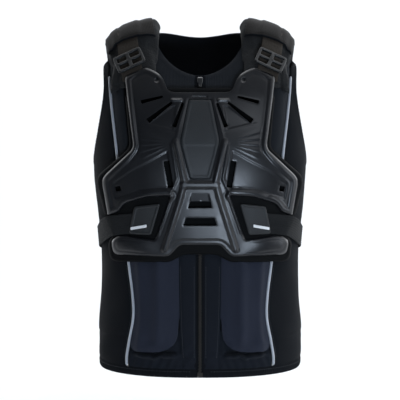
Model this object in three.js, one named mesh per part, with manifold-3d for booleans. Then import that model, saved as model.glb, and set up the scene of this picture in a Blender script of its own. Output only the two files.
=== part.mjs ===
// An airbag vest for off-road riding: a sleeveless zip-front body of stretch cloth and, over it, a
// moulded chest guard on a foam liner, padded shoulder yokes, a back plate and the straps that hold them.
// Millimetres, +Z up. The front faces -Y and +X is the wearer's left. The origin lies between the
// shoulders, at the height where the vest sits on them.
import * as THREE from "three";
import { TessellateModifier } from "three/addons/modifiers/TessellateModifier.js";
import { mergeVertices } from "three/addons/utils/BufferGeometryUtils.js";
import Module from "manifold-3d";

const wasm = await Module();
wasm.setup();

const { clamp, degToRad, lerp, smoothstep } = THREE.MathUtils;

// Soft body
const WALL = 3;
const SEAM_GAP = 0.5;
const PIPING_DIAMETER = 3.2;
const PIPING_GROOVE = 4.8;
const PIPING_TOP = -47;
const ZIP_WIDTH = 9;
const CHEST_END = -322;
const SIDE_SEAM_Y = 15;
const HEM = { z: -521, height: 14, slope: 0.085 };
const NECK = { halfWidth: 74, halfDepth: 70, y: -12, bottom: -70 };
const ARM_HOLE = { y: 4, z: -110, halfDepth: 57, halfHeight: 76, innerX: 118 };
const BODY_SIDES = 32;
const HOLE_SIDES = 40;
const FAR = 300;
const OVERRUN = 10;
const WELD = 1e-3;

// How far each piece stands off the one that carries it
const SEAT = {
  liner: 1.2,
  shell: 1.4,
  insert: 0.5,
  patch: 1.2,
  tab: 0.7,
  sideStrap: 1.6,
  shoulderStrap: 3,
  strapEnd: 1.9,
  buckle: 1.6,
  yoke: 1.4,
  backPlate: 1.2,
  slider: 0.5,
};

// Guard: how much wider than the body its curve is, its thicknesses and the shell's heights over the body
const GUARD_SPREAD = 24;
const LINER_THICK = 9;
const SHELL_THICK = 3.5;
const SHELL_BASE = SEAT.liner + LINER_THICK + SEAT.shell;
const SHELL_TOP = SHELL_BASE + SHELL_THICK;
const INSERT_THICK = 3;
const BACK_PLATE_THICK = 9;

// Fineness of what is laid on a curve: the longest edge at the front and back, and the passes that reach it.
// Heights are squeezed meanwhile, because the body curves less from top to bottom than across.
const DRAPE = { frontEdge: 30, backEdge: 42, passes: 12, squeeze: 0.6 };

// Straps
const WEBBING_THICK = 2;
const SHOULDER_STRAP_WIDTH = 35;
const SHOULDER_STRAP_STEPS = 20;
const SIDE_STRAP_WIDTH = 33;
const SIDE_STRAP_STEPS = 30;
const PATCH_THICK = 2.5;
const TAB_THICK = 0.8;
const BUCKLE = { width: 48, height: 31, thick: 4, rim: 4.5, bar: 4, spine: 6, corner: 5, windowCorner: 1.2 };

// Body sections from hem to neck: half width, depth to the front and back, and how square the oval is
const TORSO = [
  { z: -560, half: 162, front: 121, back: 111, square: 2.3 },
  { z: -470, half: 166, front: 123, back: 113, square: 2.3 },
  { z: -400, half: 162, front: 121, back: 115, square: 2.3 },
  { z: -330, half: 162, front: 124, back: 119, square: 2.4 },
  { z: -260, half: 168, front: 130, back: 124, square: 2.6 },
  { z: -190, half: 174, front: 134, back: 128, square: 2.7 },
  { z: -130, half: 173, front: 126, back: 126, square: 2.6 },
  { z: -80, half: 169, front: 106, back: 116, square: 2.5 },
  { z: -40, half: 161, front: 80, back: 99, square: 2.4 },
  { z: -12, half: 143, front: 58, back: 80, square: 2.3 },
  { z: 5, half: 118, front: 45, back: 66, square: 2.2 },
  { z: 15, half: 92, front: 38, back: 57, square: 2.1 },
  { z: 24, half: 68, front: 32, back: 48, square: 2.1 },
];

// Front seam with the piping, and the seam between placket and airbag panel
const PIPING_SEAM = [
  { z: -545, x: 118 },
  { z: -460, x: 111 },
  { z: -350, x: 115 },
  { z: -170, x: 134 },
  { z: -50, x: 147 },
  { z: 20, x: 145 },
];
const PLACKET_SEAM = [
  { z: -545, x: 27 },
  { z: -440, x: 33 },
  { z: -300, x: 35 },
];

// Outlines of the guard, the left half from top to bottom, with the rounding of each corner
const SHELL_CORNERS = [
  { x: 51, z: -69, round: 9 },
  { x: 62, z: -42, round: 12 },
  { x: 88, z: -29, round: 9 },
  { x: 122, z: -45, round: 6 },
  { x: 107, z: -158, round: 9 },
  { x: 157, z: -206, round: 11 },
  { x: 158, z: -218, round: 5 },
  { x: 149, z: -269, round: 3 },
  { x: 131, z: -261, round: 3 },
  { x: 122, z: -248, round: 8 },
  { x: 86, z: -236, round: 14 },
  { x: 48, z: -234, round: 4 },
  { x: 73, z: -307, round: 4 },
  { x: 128, z: -299, round: 10 },
  { x: 144, z: -309, round: 8 },
  { x: 140, z: -332, round: 9 },
  { x: 50, z: -333, round: 7 },
  { x: 33, z: -314, round: 7 },
];
const LINER_CORNERS = [
  { x: 45, z: -63, round: 6 },
  { x: 121, z: -75, round: 5 },
  { x: 113, z: -158, round: 10 },
  { x: 165, z: -204, round: 12 },
  { x: 167, z: -218, round: 6 },
  { x: 155, z: -267, round: 4 },
  { x: 141, z: -273, round: 6 },
  { x: 139, z: -301, round: 6 },
  { x: 149, z: -312, round: 8 },
  { x: 146, z: -344, round: 13 },
  { x: 49, z: -343, round: 8 },
  { x: 26, z: -330, round: 9 },
];
const INSERT_CORNERS = [
  { x: 18, z: -80, round: 3 },
  { x: 32, z: -147, round: 8 },
  { x: 16.5, z: -207, round: 4 },
];
const BACK_CORNERS = [
  { x: 112, z: -82, round: 18 },
  { x: 120, z: -150, round: 26 },
  { x: 110, z: -345, round: 30 },
  { x: 62, z: -405, round: 28 },
];

// Slots cut through the left half of the shell: their two ends and the width there
const SHELL_SLOTS = [
  { x0: 60, z0: -76, width0: 3.5, x1: 95, z1: -85, width1: 6 },
  { x0: 45, z0: -85, width0: 4, x1: 84, z1: -115, width1: 8.5 },
  { x0: 27.5, z0: -86, width0: 4, x1: 42, z1: -124, width1: 7 },
  { x0: 54, z0: -178, width0: 8, x1: 47, z1: -221, width1: 8 },
  { x0: 128, z0: -223, width0: 8.5, x1: 136, z1: -225, width1: 8.5 },
];
// Louvres across the middle of the shell
const LOUVRES = [
  { top: -244, topHalf: 16, bottom: -255, bottomHalf: 19 },
  { top: -267, topHalf: 25, bottom: -283, bottomHalf: 28 },
];

// Raised ribs on the left half of the shell
const RIBS = [
  { width: 9, rise: 4.5, line: [[27, -76], [41, -147], [25, -212], [32, -236], [62, -320]] },
  { width: 6, rise: 3, line: [[44, -152], [36, -206], [49, -232], [76, -306]] },
  { width: 8, rise: 2.5, line: [[111, -162], [151, -206], [152, -220], [145, -262]] },
  { width: 20, rise: 4, line: [[72, -319], [131, -316]] },
];
const CROSS_BAR = { half: 30, top: -211, bottom: -222, rise: 4.5 };

// Strap end in the shell's notch and the reflective stripe on it
const PATCH_CORNERS = [
  { x: 64, z: -247, round: 4 },
  { x: 106, z: -252, round: 5 },
  { x: 115, z: -297, round: 6 },
  { x: 79, z: -298, round: 4 },
];
const TAB_CORNERS = [
  { x: 86, z: -281, round: 0 },
  { x: 112, z: -286, round: 0 },
  { x: 112, z: -290.5, round: 0 },
  { x: 86, z: -285.5, round: 0 },
];

// Route of the side strap: first on the guard, then round the body by its turn from the front in degrees
const SIDE_STRAP_FRONT = [
  { x: 84, z: -278 },
  { x: 118, z: -281 },
  { x: 146, z: -286 },
];
const SIDE_STRAP_ROUND = [
  { turn: 80, z: -306 },
  { turn: 95, z: -314 },
  { turn: 112, z: -320 },
  { turn: 127, z: -325 },
  { turn: 134, z: -327 },
];

// Shoulder yoke: its width on the shoulder and its thickness from the front end over the top to the back
const YOKE = { innerX: 64, outerX: 144, axisZ: -120, stepX: 128, edge: 0.4, square: 4 };
const YOKE_PAD = [
  { angle: 31, inner: 7, outer: 10 },
  { angle: 50, inner: 7.5, outer: 12 },
  { angle: 60, inner: 7, outer: 11 },
  { angle: 70, inner: 8, outer: 13 },
  { angle: 80, inner: 18, outer: 20 },
  { angle: 90, inner: 26, outer: 27 },
  { angle: 108, inner: 28, outer: 28 },
  { angle: 134, inner: 20, outer: 20 },
  { angle: 151, inner: 11, outer: 11 },
];
// Shoulder strap: its angles on the yoke, its end on the shell's tab and where on the way the buckle sits
const SHOULDER_STRAP = { onYoke: [106, 94, 82], yokeX: 112, tabX: 108, tabZ: -50, buckle: 0.37 };
const YOKE_STATIONS = 15;
const YOKE_COLUMNS = 7;

const ZIP_SLIDER_CORNERS = [
  { x: 4.5, z: -46, round: 2 },
  { x: 4.5, z: -55, round: 2 },
  { x: 2.6, z: -56, round: 1 },
  { x: 2.6, z: -61.5, round: 1.5 },
];
const ZIP_SLIDER_THICK = 3.5;

const MATERIALS = {
  shell: new THREE.MeshStandardMaterial({ color: "#25282b", roughness: 0.42, metalness: 0 }),
  insert: new THREE.MeshStandardMaterial({ color: "#2b2e31", roughness: 0.55, metalness: 0 }),
  foam: new THREE.MeshStandardMaterial({ color: "#1b1d1f", roughness: 0.6, metalness: 0 }),
  padCloth: new THREE.MeshStandardMaterial({ color: "#27282a", roughness: 0.85, metalness: 0 }),
  webbing: new THREE.MeshStandardMaterial({ color: "#322f2c", roughness: 0.8, metalness: 0 }),
  buckle: new THREE.MeshStandardMaterial({ color: "#1f2124", roughness: 0.4, metalness: 0 }),
  rubber: new THREE.MeshStandardMaterial({ color: "#232628", roughness: 0.6, metalness: 0 }),
  navy: new THREE.MeshStandardMaterial({ color: "#1b2030", roughness: 0.85, metalness: 0 }),
  black: new THREE.MeshStandardMaterial({ color: "#101214", roughness: 0.85, metalness: 0 }),
  charcoal: new THREE.MeshStandardMaterial({ color: "#1f2124", roughness: 0.85, metalness: 0 }),
  piping: new THREE.MeshStandardMaterial({ color: "#c8ccd2", roughness: 0.45, metalness: 0 }),
  stripe: new THREE.MeshStandardMaterial({ color: "#ececec", roughness: 0.5, metalness: 0 }),
  zip: new THREE.MeshStandardMaterial({ color: "#2a2723", roughness: 0.6, metalness: 0 }),
};

// Reads one column of a table at a height or angle, on a smooth curve through its rows
function read(table, key, column, at) {
  const row = (k) => table[clamp(k, 0, table.length - 1)];
  const value = clamp(at, row(0)[key], row(table.length)[key]);
  const i = clamp(table.filter((entry) => entry[key] <= value).length - 1, 0, table.length - 2);
  const slope = (k) => (row(k + 1)[column] - row(k - 1)[column]) / (row(k + 1)[key] - row(k - 1)[key]);
  const span = row(i + 1)[key] - row(i)[key];
  const t = (value - row(i)[key]) / span;
  const ease = t * t * (3 - 2 * t);
  const leave = span * slope(i) * t * (1 - t) * (1 - t);
  const arrive = span * slope(i + 1) * t * t * (t - 1);
  return lerp(row(i)[column], row(i + 1)[column], ease) + leave + arrive;
}

function torso(z) {
  const section = {};
  for (const column of ["half", "front", "back", "square"]) section[column] = read(TORSO, "z", column, z);
  return section;
}

// Height of a squared half oval over its middle, for t from -1 to 1
function bulge(t, square) {
  return Math.max(0, 1 - Math.abs(t) ** square) ** (1 / square);
}

function frontY(x, z) {
  const { half, front, square } = torso(z);
  return -front * bulge(x / half, square);
}

function backY(x, z) {
  const { half, back, square } = torso(z);
  return back * bulge(x / half, square);
}

function guardY(x, z) {
  const { half, front, square } = torso(z);
  return -front * bulge(x / (half + GUARD_SPREAD), square);
}

// Way out of a front surface at one place
function outOf(surface, x, z) {
  const slopeX = surface(x + 1, z) - surface(x - 1, z);
  const slopeZ = surface(x, z + 1) - surface(x, z - 1);
  return new THREE.Vector3(slopeX / 2, -1, slopeZ / 2).normalize();
}

function pipingX(z) {
  return read(PIPING_SEAM, "z", "x", z);
}

function placketX(z) {
  return read(PLACKET_SEAM, "z", "x", z);
}

// Closed surface from points and triangles, turned so that its faces point outwards
function closedSurface(points, triangles) {
  const volume = triangles.reduce((sum, corner, k) => {
    if (k % 3) return sum;
    const [a, b, c] = [points[corner], points[triangles[k + 1]], points[triangles[k + 2]]];
    return sum + a.dot(b.clone().cross(c));
  }, 0);
  const geometry = new THREE.BufferGeometry().setFromPoints(points);
  geometry.setIndex(volume > 0 ? triangles : triangles.toReversed());
  return geometry;
}

// Solid through closed rings of equal count, each capped by a fan from its middle
function loft(rings) {
  const count = rings[0].length;
  const points = rings.flat();
  const triangles = [];
  for (let start = 0; start < count * (rings.length - 1); start += count) {
    for (let k = 0; k < count; k++) {
      const a = start + k;
      const b = start + ((k + 1) % count);
      triangles.push(a, b, b + count, a, b + count, a + count);
    }
  }
  for (const [start, turn] of [[0, 1], [count * (rings.length - 1), -1]]) {
    const middle = new THREE.Vector3();
    for (let k = 0; k < count; k++) {
      middle.addScaledVector(points[start + k], 1 / count);
      const pair = [start + k, start + ((k + 1) % count)];
      triangles.push(points.length, ...(turn > 0 ? pair.toReversed() : pair));
    }
    points.push(middle);
  }
  return closedSurface(points, triangles);
}

// Solid between two grids of points of the same rows and columns
function slab(outer, inner) {
  const rows = outer.length;
  const columns = outer[0].length;
  const points = [...outer.flat(), ...inner.flat()];
  const under = rows * columns;
  const triangles = [];
  const quad = (a, b, c, d) => triangles.push(a, b, c, a, c, d);
  for (let r = 0; r + 1 < rows; r++) {
    for (let k = 0; k + 1 < columns; k++) {
      const a = r * columns + k;
      quad(a, a + 1, a + columns + 1, a + columns);
      quad(under + a, under + a + columns, under + a + columns + 1, under + a + 1);
    }
    for (const [a, b] of [[r * columns, (r + 1) * columns], [(r + 2) * columns - 1, (r + 1) * columns - 1]]) {
      quad(a, b, under + b, under + a);
    }
  }
  for (let k = 0; k + 1 < columns; k++) {
    const last = (rows - 1) * columns + k;
    quad(k + 1, k, under + k, under + k + 1);
    quad(last, last + 1, under + last + 1, under + last);
  }
  return closedSurface(points, triangles);
}

function solidOf(geometry) {
  const bare = geometry.clone();
  bare.deleteAttribute("normal");
  bare.deleteAttribute("uv");
  const merged = mergeVertices(bare, WELD);
  const vertProperties = Float32Array.from(merged.attributes.position.array);
  const triVerts = Uint32Array.from(merged.index.array);
  return new wasm.Manifold(new wasm.Mesh({ numProp: 3, vertProperties, triVerts }));
}

function geometryOf(solid) {
  const { vertProperties, triVerts } = solid.getMesh();
  const geometry = new THREE.BufferGeometry();
  geometry.setAttribute("position", new THREE.BufferAttribute(Float32Array.from(vertProperties), 3));
  geometry.setIndex(Array.from(triVerts));
  return geometry;
}

// Draws a closed outline with rounded corners into a shape or a hole
function trace(path, corners) {
  const longest = 0.45;
  const at = (k) => new THREE.Vector2(...corners.at(k % corners.length).point);
  const cut = (k, towards) => {
    const reach = at(towards).sub(at(k));
    const { round } = corners.at(k % corners.length);
    return at(k).add(reach.setLength(Math.min(round, reach.length() * longest)));
  };
  const start = cut(0, corners.length - 1);
  path.moveTo(start.x, start.y);
  for (let k = 0; k < corners.length; k++) {
    const before = cut(k, k + corners.length - 1);
    const after = cut(k, k + 1);
    path.lineTo(before.x, before.y);
    if (corners.at(k).round) path.quadraticCurveTo(at(k).x, at(k).y, after.x, after.y);
  }
  path.closePath();
  return path;
}

function oneSide(corners, side) {
  return corners.map(({ x, z, round }) => ({ point: [x * side, z], round }));
}

function bothSides(corners) {
  return [...oneSide(corners, -1), ...oneSide(corners, 1).toReversed()];
}

// Wedge-shaped slot between two ends, on one side of the shell
function slotCorners({ x0, z0, width0, x1, z1, width1 }, side) {
  const across = new THREE.Vector2(z0 - z1, x1 - x0).normalize();
  const corner = (x, z, reach) => {
    const point = [side * (x + across.x * reach), z + across.y * reach];
    return { point, round: 0 };
  };
  return [
    corner(x0, z0, width0 / 2),
    corner(x1, z1, width1 / 2),
    corner(x1, z1, -width1 / 2),
    corner(x0, z0, -width0 / 2),
  ];
}

// Flat strip of one width along a line of points, with square ends
function stripShape(line, width, side) {
  const points = line.map(([x, z]) => new THREE.Vector2(x * side, z));
  const direction = (a, b) => points[b].clone().sub(points[a]).normalize();
  const edge = (k, reach) => {
    const before = direction(Math.max(k - 1, 0), Math.max(k, 1));
    const after = direction(Math.min(k, points.length - 2), Math.min(k + 1, points.length - 1));
    const along = before.clone().add(after).normalize();
    const miter = reach / along.dot(after);
    return points[k].clone().add(new THREE.Vector2(-along.y, along.x).multiplyScalar(miter));
  };
  const over = points.map((_, k) => edge(k, width / 2));
  const below = points.map((_, k) => edge(k, -width / 2));
  return new THREE.Shape([...over, ...below.reverse()]);
}

// Flat solid of a shape between two heights, before it is laid on a curved surface
function flat(shape, from, to) {
  const options = { depth: to - from, bevelEnabled: false, curveSegments: 2 };
  return solidOf(new THREE.ExtrudeGeometry(shape, options).translate(0, 0, from));
}

// Lays a flat solid on the front: its height leaves the surface towards -Y
function drapeFront(solid, surface, edge = DRAPE.frontEdge) {
  const squeezed = geometryOf(solid).scale(1, DRAPE.squeeze, 1);
  const geometry = new TessellateModifier(edge, DRAPE.passes).modify(squeezed);
  const position = geometry.attributes.position;
  for (let k = 0; k < position.count; k++) {
    const [x, z, height] = [position.getX(k), position.getY(k) / DRAPE.squeeze, position.getZ(k)];
    position.setXYZ(k, x, surface(x, z) - height, z);
  }
  return mergeVertices(geometry, WELD);
}

// Lays a flat solid on the back in the same way, towards +Y
function drapeBack(solid) {
  const geometry = drapeFront(solid, (x, z) => -backY(x, z), DRAPE.backEdge);
  return geometry.rotateZ(Math.PI);
}

// Upright prism of an outline given as [x, z] pairs, between two depths
function prism(outline, yFront, yBack) {
  const shape = new THREE.Shape(outline.map(([x, z]) => new THREE.Vector2(x, z)));
  const geometry = new THREE.ExtrudeGeometry(shape, { depth: yBack - yFront, bevelEnabled: false });
  return solidOf(geometry.rotateX(Math.PI / 2).translate(0, yBack, 0));
}

// Everything under the sloping hem line, raised by some height
function underHem(raise) {
  const block = new THREE.BoxGeometry(2 * FAR, 2 * FAR, FAR).translate(0, 0, -FAR / 2);
  return solidOf(block.rotateX(Math.atan(HEM.slope)).translate(0, 0, HEM.z + raise));
}

function torsoSolid(inset, bottom, top) {
  const heights = TORSO.map((row) => row.z);
  heights[0] = bottom;
  heights[heights.length - 1] = top;
  const rings = heights.map((z) => {
    const { half, front, back, square } = torso(z);
    return Array.from({ length: BODY_SIDES }, (_, k) => {
      const angle = (2 * Math.PI * k) / BODY_SIDES;
      const [c, s] = [Math.cos(angle), Math.sin(angle)];
      const depth = (s < 0 ? front : back) - inset;
      const spread = (value) => Math.sign(value) * Math.abs(value) ** (2 / square);
      return new THREE.Vector3((half - inset) * spread(c), depth * spread(s), z);
    });
  });
  return solidOf(loft(rings));
}

// Cloth wall of the whole soft body, open at the neck, the arm holes and the hem
function bodyWall() {
  const bottom = TORSO[0].z;
  const top = TORSO.at(-1).z;
  const neck = new THREE.CylinderGeometry(1, 1, FAR, HOLE_SIDES).rotateX(Math.PI / 2);
  neck.scale(NECK.halfWidth, NECK.halfDepth, 1).translate(0, NECK.y, NECK.bottom + FAR / 2);
  let wall = torsoSolid(0, bottom, top).subtract(torsoSolid(WALL, bottom - OVERRUN, top + OVERRUN));
  wall = wall.subtract(solidOf(neck)).subtract(underHem(0));
  for (const side of [1, -1]) {
    const arm = new THREE.CylinderGeometry(1, 1, FAR, HOLE_SIDES).rotateZ(Math.PI / 2);
    arm.scale(1, ARM_HOLE.halfDepth, ARM_HOLE.halfHeight);
    arm.translate(side * (ARM_HOLE.innerX + FAR / 2), ARM_HOLE.y, ARM_HOLE.z);
    wall = wall.subtract(solidOf(arm));
  }
  return wall;
}

// Outline between two upright lines, given as functions of the height
function between(innerX, outerX, bottom, top, side) {
  const steps = 12;
  const heights = Array.from({ length: steps + 1 }, (_, k) => lerp(bottom, top, k / steps));
  const inner = heights.map((z) => [side * innerX(z), z]);
  const outer = heights.map((z) => [side * outerX(z), z]);
  return [...inner, ...outer.reverse()];
}

// Panels of the soft body, cut from one wall along its seams
function bodyPanels(add) {
  const wall = bodyWall();
  const upper = wall.subtract(underHem(HEM.height + SEAM_GAP));
  const zipEdge = () => ZIP_WIDTH / 2 + SEAM_GAP;
  const pipingInner = (z) => pipingX(z) - PIPING_GROOVE / 2;
  const pipingOuter = (z) => pipingX(z) + PIPING_GROOVE / 2;
  const placketOuter = (z) => placketX(z) - SEAM_GAP / 2;
  const panelInner = (z) => placketX(z) + SEAM_GAP / 2;
  const lowerTop = CHEST_END - SEAM_GAP;
  const cut = (outline, yBack) => geometryOf(upper.intersect(prism(outline, -FAR, yBack)));
  for (const [side, hand] of [[1, "left"], [-1, "right"]]) {
    const chest = between(zipEdge, pipingInner, CHEST_END, FAR, side);
    const placket = between(zipEdge, placketOuter, -2 * FAR, lowerTop, side);
    const airbag = between(panelInner, pipingInner, -2 * FAR, lowerTop, side);
    const flank = between(pipingOuter, () => FAR, -2 * FAR, FAR, side);
    add(`chest_panel_${hand}`, cut(chest, SIDE_SEAM_Y), MATERIALS.charcoal);
    add(`placket_${hand}`, cut(placket, 0), MATERIALS.black);
    add(`airbag_panel_${hand}`, cut(airbag, 0), MATERIALS.navy);
    add(`side_panel_${hand}`, cut(flank, SIDE_SEAM_Y), MATERIALS.black);
  }
  const everywhere = between(() => -FAR, () => FAR, -2 * FAR, FAR, 1);
  const back = upper.intersect(prism(everywhere, SIDE_SEAM_Y + SEAM_GAP, FAR));
  const zipStrip = (half) => prism(between(() => -half, () => half, -2 * FAR, FAR, 1), -FAR, 0);
  const hem = wall.intersect(underHem(HEM.height)).subtract(zipStrip(ZIP_WIDTH / 2 + SEAM_GAP));
  add("back_panel", geometryOf(back), MATERIALS.black);
  add("hem_band", geometryOf(hem), MATERIALS.black);
  add("zip", geometryOf(wall.intersect(zipStrip(ZIP_WIDTH / 2))), MATERIALS.zip);
}

function piping(side) {
  const stations = 14;
  const hemTop = HEM.z + HEM.height;
  const low = hemTop + HEM.slope * frontY(pipingX(hemTop), hemTop) + 2 * SEAM_GAP;
  const points = Array.from({ length: stations }, (_, k) => {
    const z = lerp(PIPING_TOP, low, k / (stations - 1));
    return new THREE.Vector3(side * pipingX(z), frontY(pipingX(z), z), z);
  });
  const round = new THREE.Shape().absarc(0, 0, PIPING_DIAMETER / 2, 0, 2 * Math.PI);
  const extrudePath = new THREE.CatmullRomCurve3(points);
  return new THREE.ExtrudeGeometry(round, { extrudePath, steps: 22, curveSegments: 3 });
}

function zipSlider() {
  const shape = trace(new THREE.Shape(), bothSides(ZIP_SLIDER_CORNERS));
  return drapeFront(flat(shape, SEAT.slider, SEAT.slider + ZIP_SLIDER_THICK), frontY);
}

// Corners moved outwards by a clearance, seen from the middle of their outline
function grown(corners, by) {
  const middle = (corners[0].z + corners.at(-1).z) / 2;
  return corners.map(({ x, z, round }) => ({ x: x + by, z: z + Math.sign(z - middle) * by, round }));
}

// Moulded shell: a plate with slots and louvres, and ribs raised on it
function chestShell() {
  const plate = trace(new THREE.Shape(), bothSides(SHELL_CORNERS));
  plate.holes.push(trace(new THREE.Path(), bothSides(grown(INSERT_CORNERS, SEAT.insert))));
  for (const { top, topHalf, bottom, bottomHalf } of LOUVRES) {
    const louvre = [{ x: topHalf, z: top, round: 0 }, { x: bottomHalf, z: bottom, round: 0 }];
    plate.holes.push(trace(new THREE.Path(), bothSides(louvre)));
  }
  for (const side of [1, -1]) {
    for (const slot of SHELL_SLOTS) plate.holes.push(trace(new THREE.Path(), slotCorners(slot, side)));
  }
  const rest = SHELL_BASE + SHELL_THICK / 2;
  let ribs = flat(crossBarShape(), rest, SHELL_TOP + CROSS_BAR.rise);
  for (const side of [1, -1]) {
    for (const { line, width, rise } of RIBS) {
      ribs = ribs.add(flat(stripShape(line, width, side), rest, SHELL_TOP + rise));
    }
  }
  const clear = trace(new THREE.Shape(), bothSides(grown(INSERT_CORNERS, SEAT.insert)));
  const body = flat(plate, SHELL_BASE, SHELL_TOP).add(ribs.subtract(flat(clear, 0, 2 * SHELL_TOP)));
  return drapeFront(body, guardY);
}

function crossBarShape() {
  const { half, top, bottom } = CROSS_BAR;
  const corners = [[-half, bottom], [half, bottom], [half, top], [-half, top]];
  return new THREE.Shape(corners.map((corner) => new THREE.Vector2(...corner)));
}

function centreInsert() {
  const shape = trace(new THREE.Shape(), bothSides(INSERT_CORNERS));
  return drapeFront(flat(shape, SHELL_BASE, SHELL_BASE + INSERT_THICK), guardY);
}

function chestLiner() {
  const shape = trace(new THREE.Shape(), bothSides(LINER_CORNERS));
  return drapeFront(flat(shape, SEAT.liner, SEAT.liner + LINER_THICK), guardY);
}

function backPlate() {
  const shape = trace(new THREE.Shape(), bothSides(BACK_CORNERS));
  return drapeBack(flat(shape, SEAT.backPlate, SEAT.backPlate + BACK_PLATE_THICK));
}

// Point of the body on a ray from the yoke's axis, in the plane of one x, and the way out of the body there
function shoulderSpot(x, angle) {
  const halvings = 40;
  const radians = degToRad(angle);
  const within = (reach) => {
    const [y, z] = [-reach * Math.cos(radians), YOKE.axisZ + reach * Math.sin(radians)];
    const { half, front, back, square } = torso(z);
    const inside = Math.abs(y) < (y < 0 ? front : back) * bulge(x / half, square);
    return z < TORSO.at(-1).z && Math.abs(x) < half && inside;
  };
  let [near, far] = [0, FAR];
  for (let pass = 0; pass < halvings; pass++) {
    const reach = (near + far) / 2;
    if (within(reach)) near = reach;
    else far = reach;
  }
  return new THREE.Vector3(x, -near * Math.cos(radians), YOKE.axisZ + near * Math.sin(radians));
}

function shoulderOut(x, angle) {
  const along = shoulderSpot(x, angle + 2).sub(shoulderSpot(x, angle - 2));
  const across = shoulderSpot(x + 2, angle).sub(shoulderSpot(x - 2, angle));
  return across.cross(along).normalize();
}

// Thickness of the yoke's padding: full in the middle, less at its rounded edges
function yokeThick(x, angle) {
  const step = smoothstep(x, YOKE.stepX, YOKE.outerX);
  const pad = lerp(read(YOKE_PAD, "angle", "inner", angle), read(YOKE_PAD, "angle", "outer", angle), step);
  const t = (2 * (x - YOKE.innerX)) / (YOKE.outerX - YOKE.innerX) - 1;
  return pad * (YOKE.edge + (1 - YOKE.edge) * bulge(t, YOKE.square));
}

// Point at some height over the yoke's cover, on the left shoulder
function overYoke(x, angle, height) {
  return shoulderSpot(x, angle).addScaledVector(shoulderOut(x, angle), yokeThick(x, angle) + height);
}

function mirrored(grid, side) {
  return grid.map((row) => row.map((point) => new THREE.Vector3(point.x * side, point.y, point.z)));
}

function yoke(side) {
  const angles = Array.from({ length: YOKE_STATIONS }, (_, k) =>
    lerp(YOKE_PAD[0].angle, YOKE_PAD.at(-1).angle, k / (YOKE_STATIONS - 1)));
  const columns = Array.from({ length: YOKE_COLUMNS }, (_, k) =>
    lerp(YOKE.innerX, YOKE.outerX, (1 - Math.cos((Math.PI * k) / (YOKE_COLUMNS - 1))) / 2));
  const layer = (height) => angles.map((angle) => columns.map((x) => height(x, angle)));
  const cover = layer((x, angle) => overYoke(x, angle, SEAT.yoke));
  const seat = layer((x, angle) => shoulderSpot(x, angle).addScaledVector(shoulderOut(x, angle), SEAT.yoke));
  return slab(mirrored(cover, side), mirrored(seat, side));
}

// Flat strap of one width through stations, each with its place and the way that its face looks
function ribbon(stations, width, steps, side) {
  const curve = new THREE.CatmullRomCurve3(stations.map(({ at }) => at));
  const rows = Array.from({ length: steps + 1 }, (_, k) => {
    const place = (k / steps) * (stations.length - 1);
    const i = Math.min(Math.floor(place), stations.length - 2);
    const out = stations[i].out.clone().lerp(stations[i + 1].out, place - i);
    const at = curve.getPoint(k / steps);
    const along = curve.getTangent(k / steps);
    const across = along.clone().cross(out).setLength(width / 2);
    return { at, across, out: across.clone().cross(along).setLength(WEBBING_THICK / 2) };
  });
  const face = (sign) => rows.map(({ at, across, out }) =>
    [-1, 1].map((edge) => at.clone().addScaledVector(out, sign).addScaledVector(across, edge)));
  return slab(mirrored(face(1), side), mirrored(face(-1), side));
}

// Place on the left side of the body by its turn from the front
function flankSpot(turn, z) {
  const { half, front, back, square } = torso(z);
  const [s, c] = [Math.sin(degToRad(turn)), Math.cos(degToRad(turn))];
  const spread = (value) => Math.sign(value) * Math.abs(value) ** (2 / square);
  return new THREE.Vector3(half * spread(s), -(c > 0 ? front : back) * spread(c), z);
}

function flankStation({ turn, z }, height) {
  const along = flankSpot(turn + 1, z).sub(flankSpot(turn - 1, z));
  const up = flankSpot(turn, z + 1).sub(flankSpot(turn, z - 1));
  const out = along.cross(up).normalize();
  return { at: flankSpot(turn, z).addScaledVector(out, height), out };
}

function sideStrap(side) {
  const front = SIDE_STRAP_FRONT.map(({ x, z }) => {
    const out = outOf(guardY, x, z);
    const at = new THREE.Vector3(x, guardY(x, z) - SHELL_BASE, z);
    return { at: at.addScaledVector(out, WEBBING_THICK / 2), out };
  });
  const round = SIDE_STRAP_ROUND.map((station) => flankStation(station, SEAT.sideStrap + WEBBING_THICK / 2));
  return ribbon([...front, ...round], SIDE_STRAP_WIDTH, SIDE_STRAP_STEPS, side);
}

function strapPatch(side) {
  const low = SHELL_BASE + WEBBING_THICK + SEAT.patch;
  const shape = trace(new THREE.Shape(), oneSide(PATCH_CORNERS, side));
  return drapeFront(flat(shape, low, low + PATCH_THICK), guardY);
}

function reflectiveTab(side) {
  const low = SHELL_BASE + WEBBING_THICK + SEAT.patch + PATCH_THICK + SEAT.tab;
  const shape = trace(new THREE.Shape(), oneSide(TAB_CORNERS, side));
  return drapeFront(flat(shape, low, low + TAB_THICK), guardY);
}

// Stations of the left shoulder strap: on the yoke, then straight down to the shell's tab
function shoulderStations() {
  const { onYoke, yokeX, tabX, tabZ, buckle } = SHOULDER_STRAP;
  const onPad = SEAT.yoke + SEAT.shoulderStrap + WEBBING_THICK / 2;
  const onTab = SEAT.strapEnd + WEBBING_THICK / 2;
  const over = onYoke.map((angle) => ({ at: overYoke(yokeX, angle, onPad), out: shoulderOut(yokeX, angle) }));
  const out = outOf(guardY, tabX, tabZ);
  const tab = new THREE.Vector3(tabX, guardY(tabX, tabZ) - SHELL_TOP, tabZ).addScaledVector(out, onTab);
  const last = over.at(-1);
  const threaded = { at: tab.clone().lerp(last.at, buckle), out: out.clone().lerp(last.out, buckle) };
  return [...over, threaded, { at: tab, out }];
}

function shoulderStrap(side) {
  return ribbon(shoulderStations(), SHOULDER_STRAP_WIDTH, SHOULDER_STRAP_STEPS, side);
}

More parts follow.
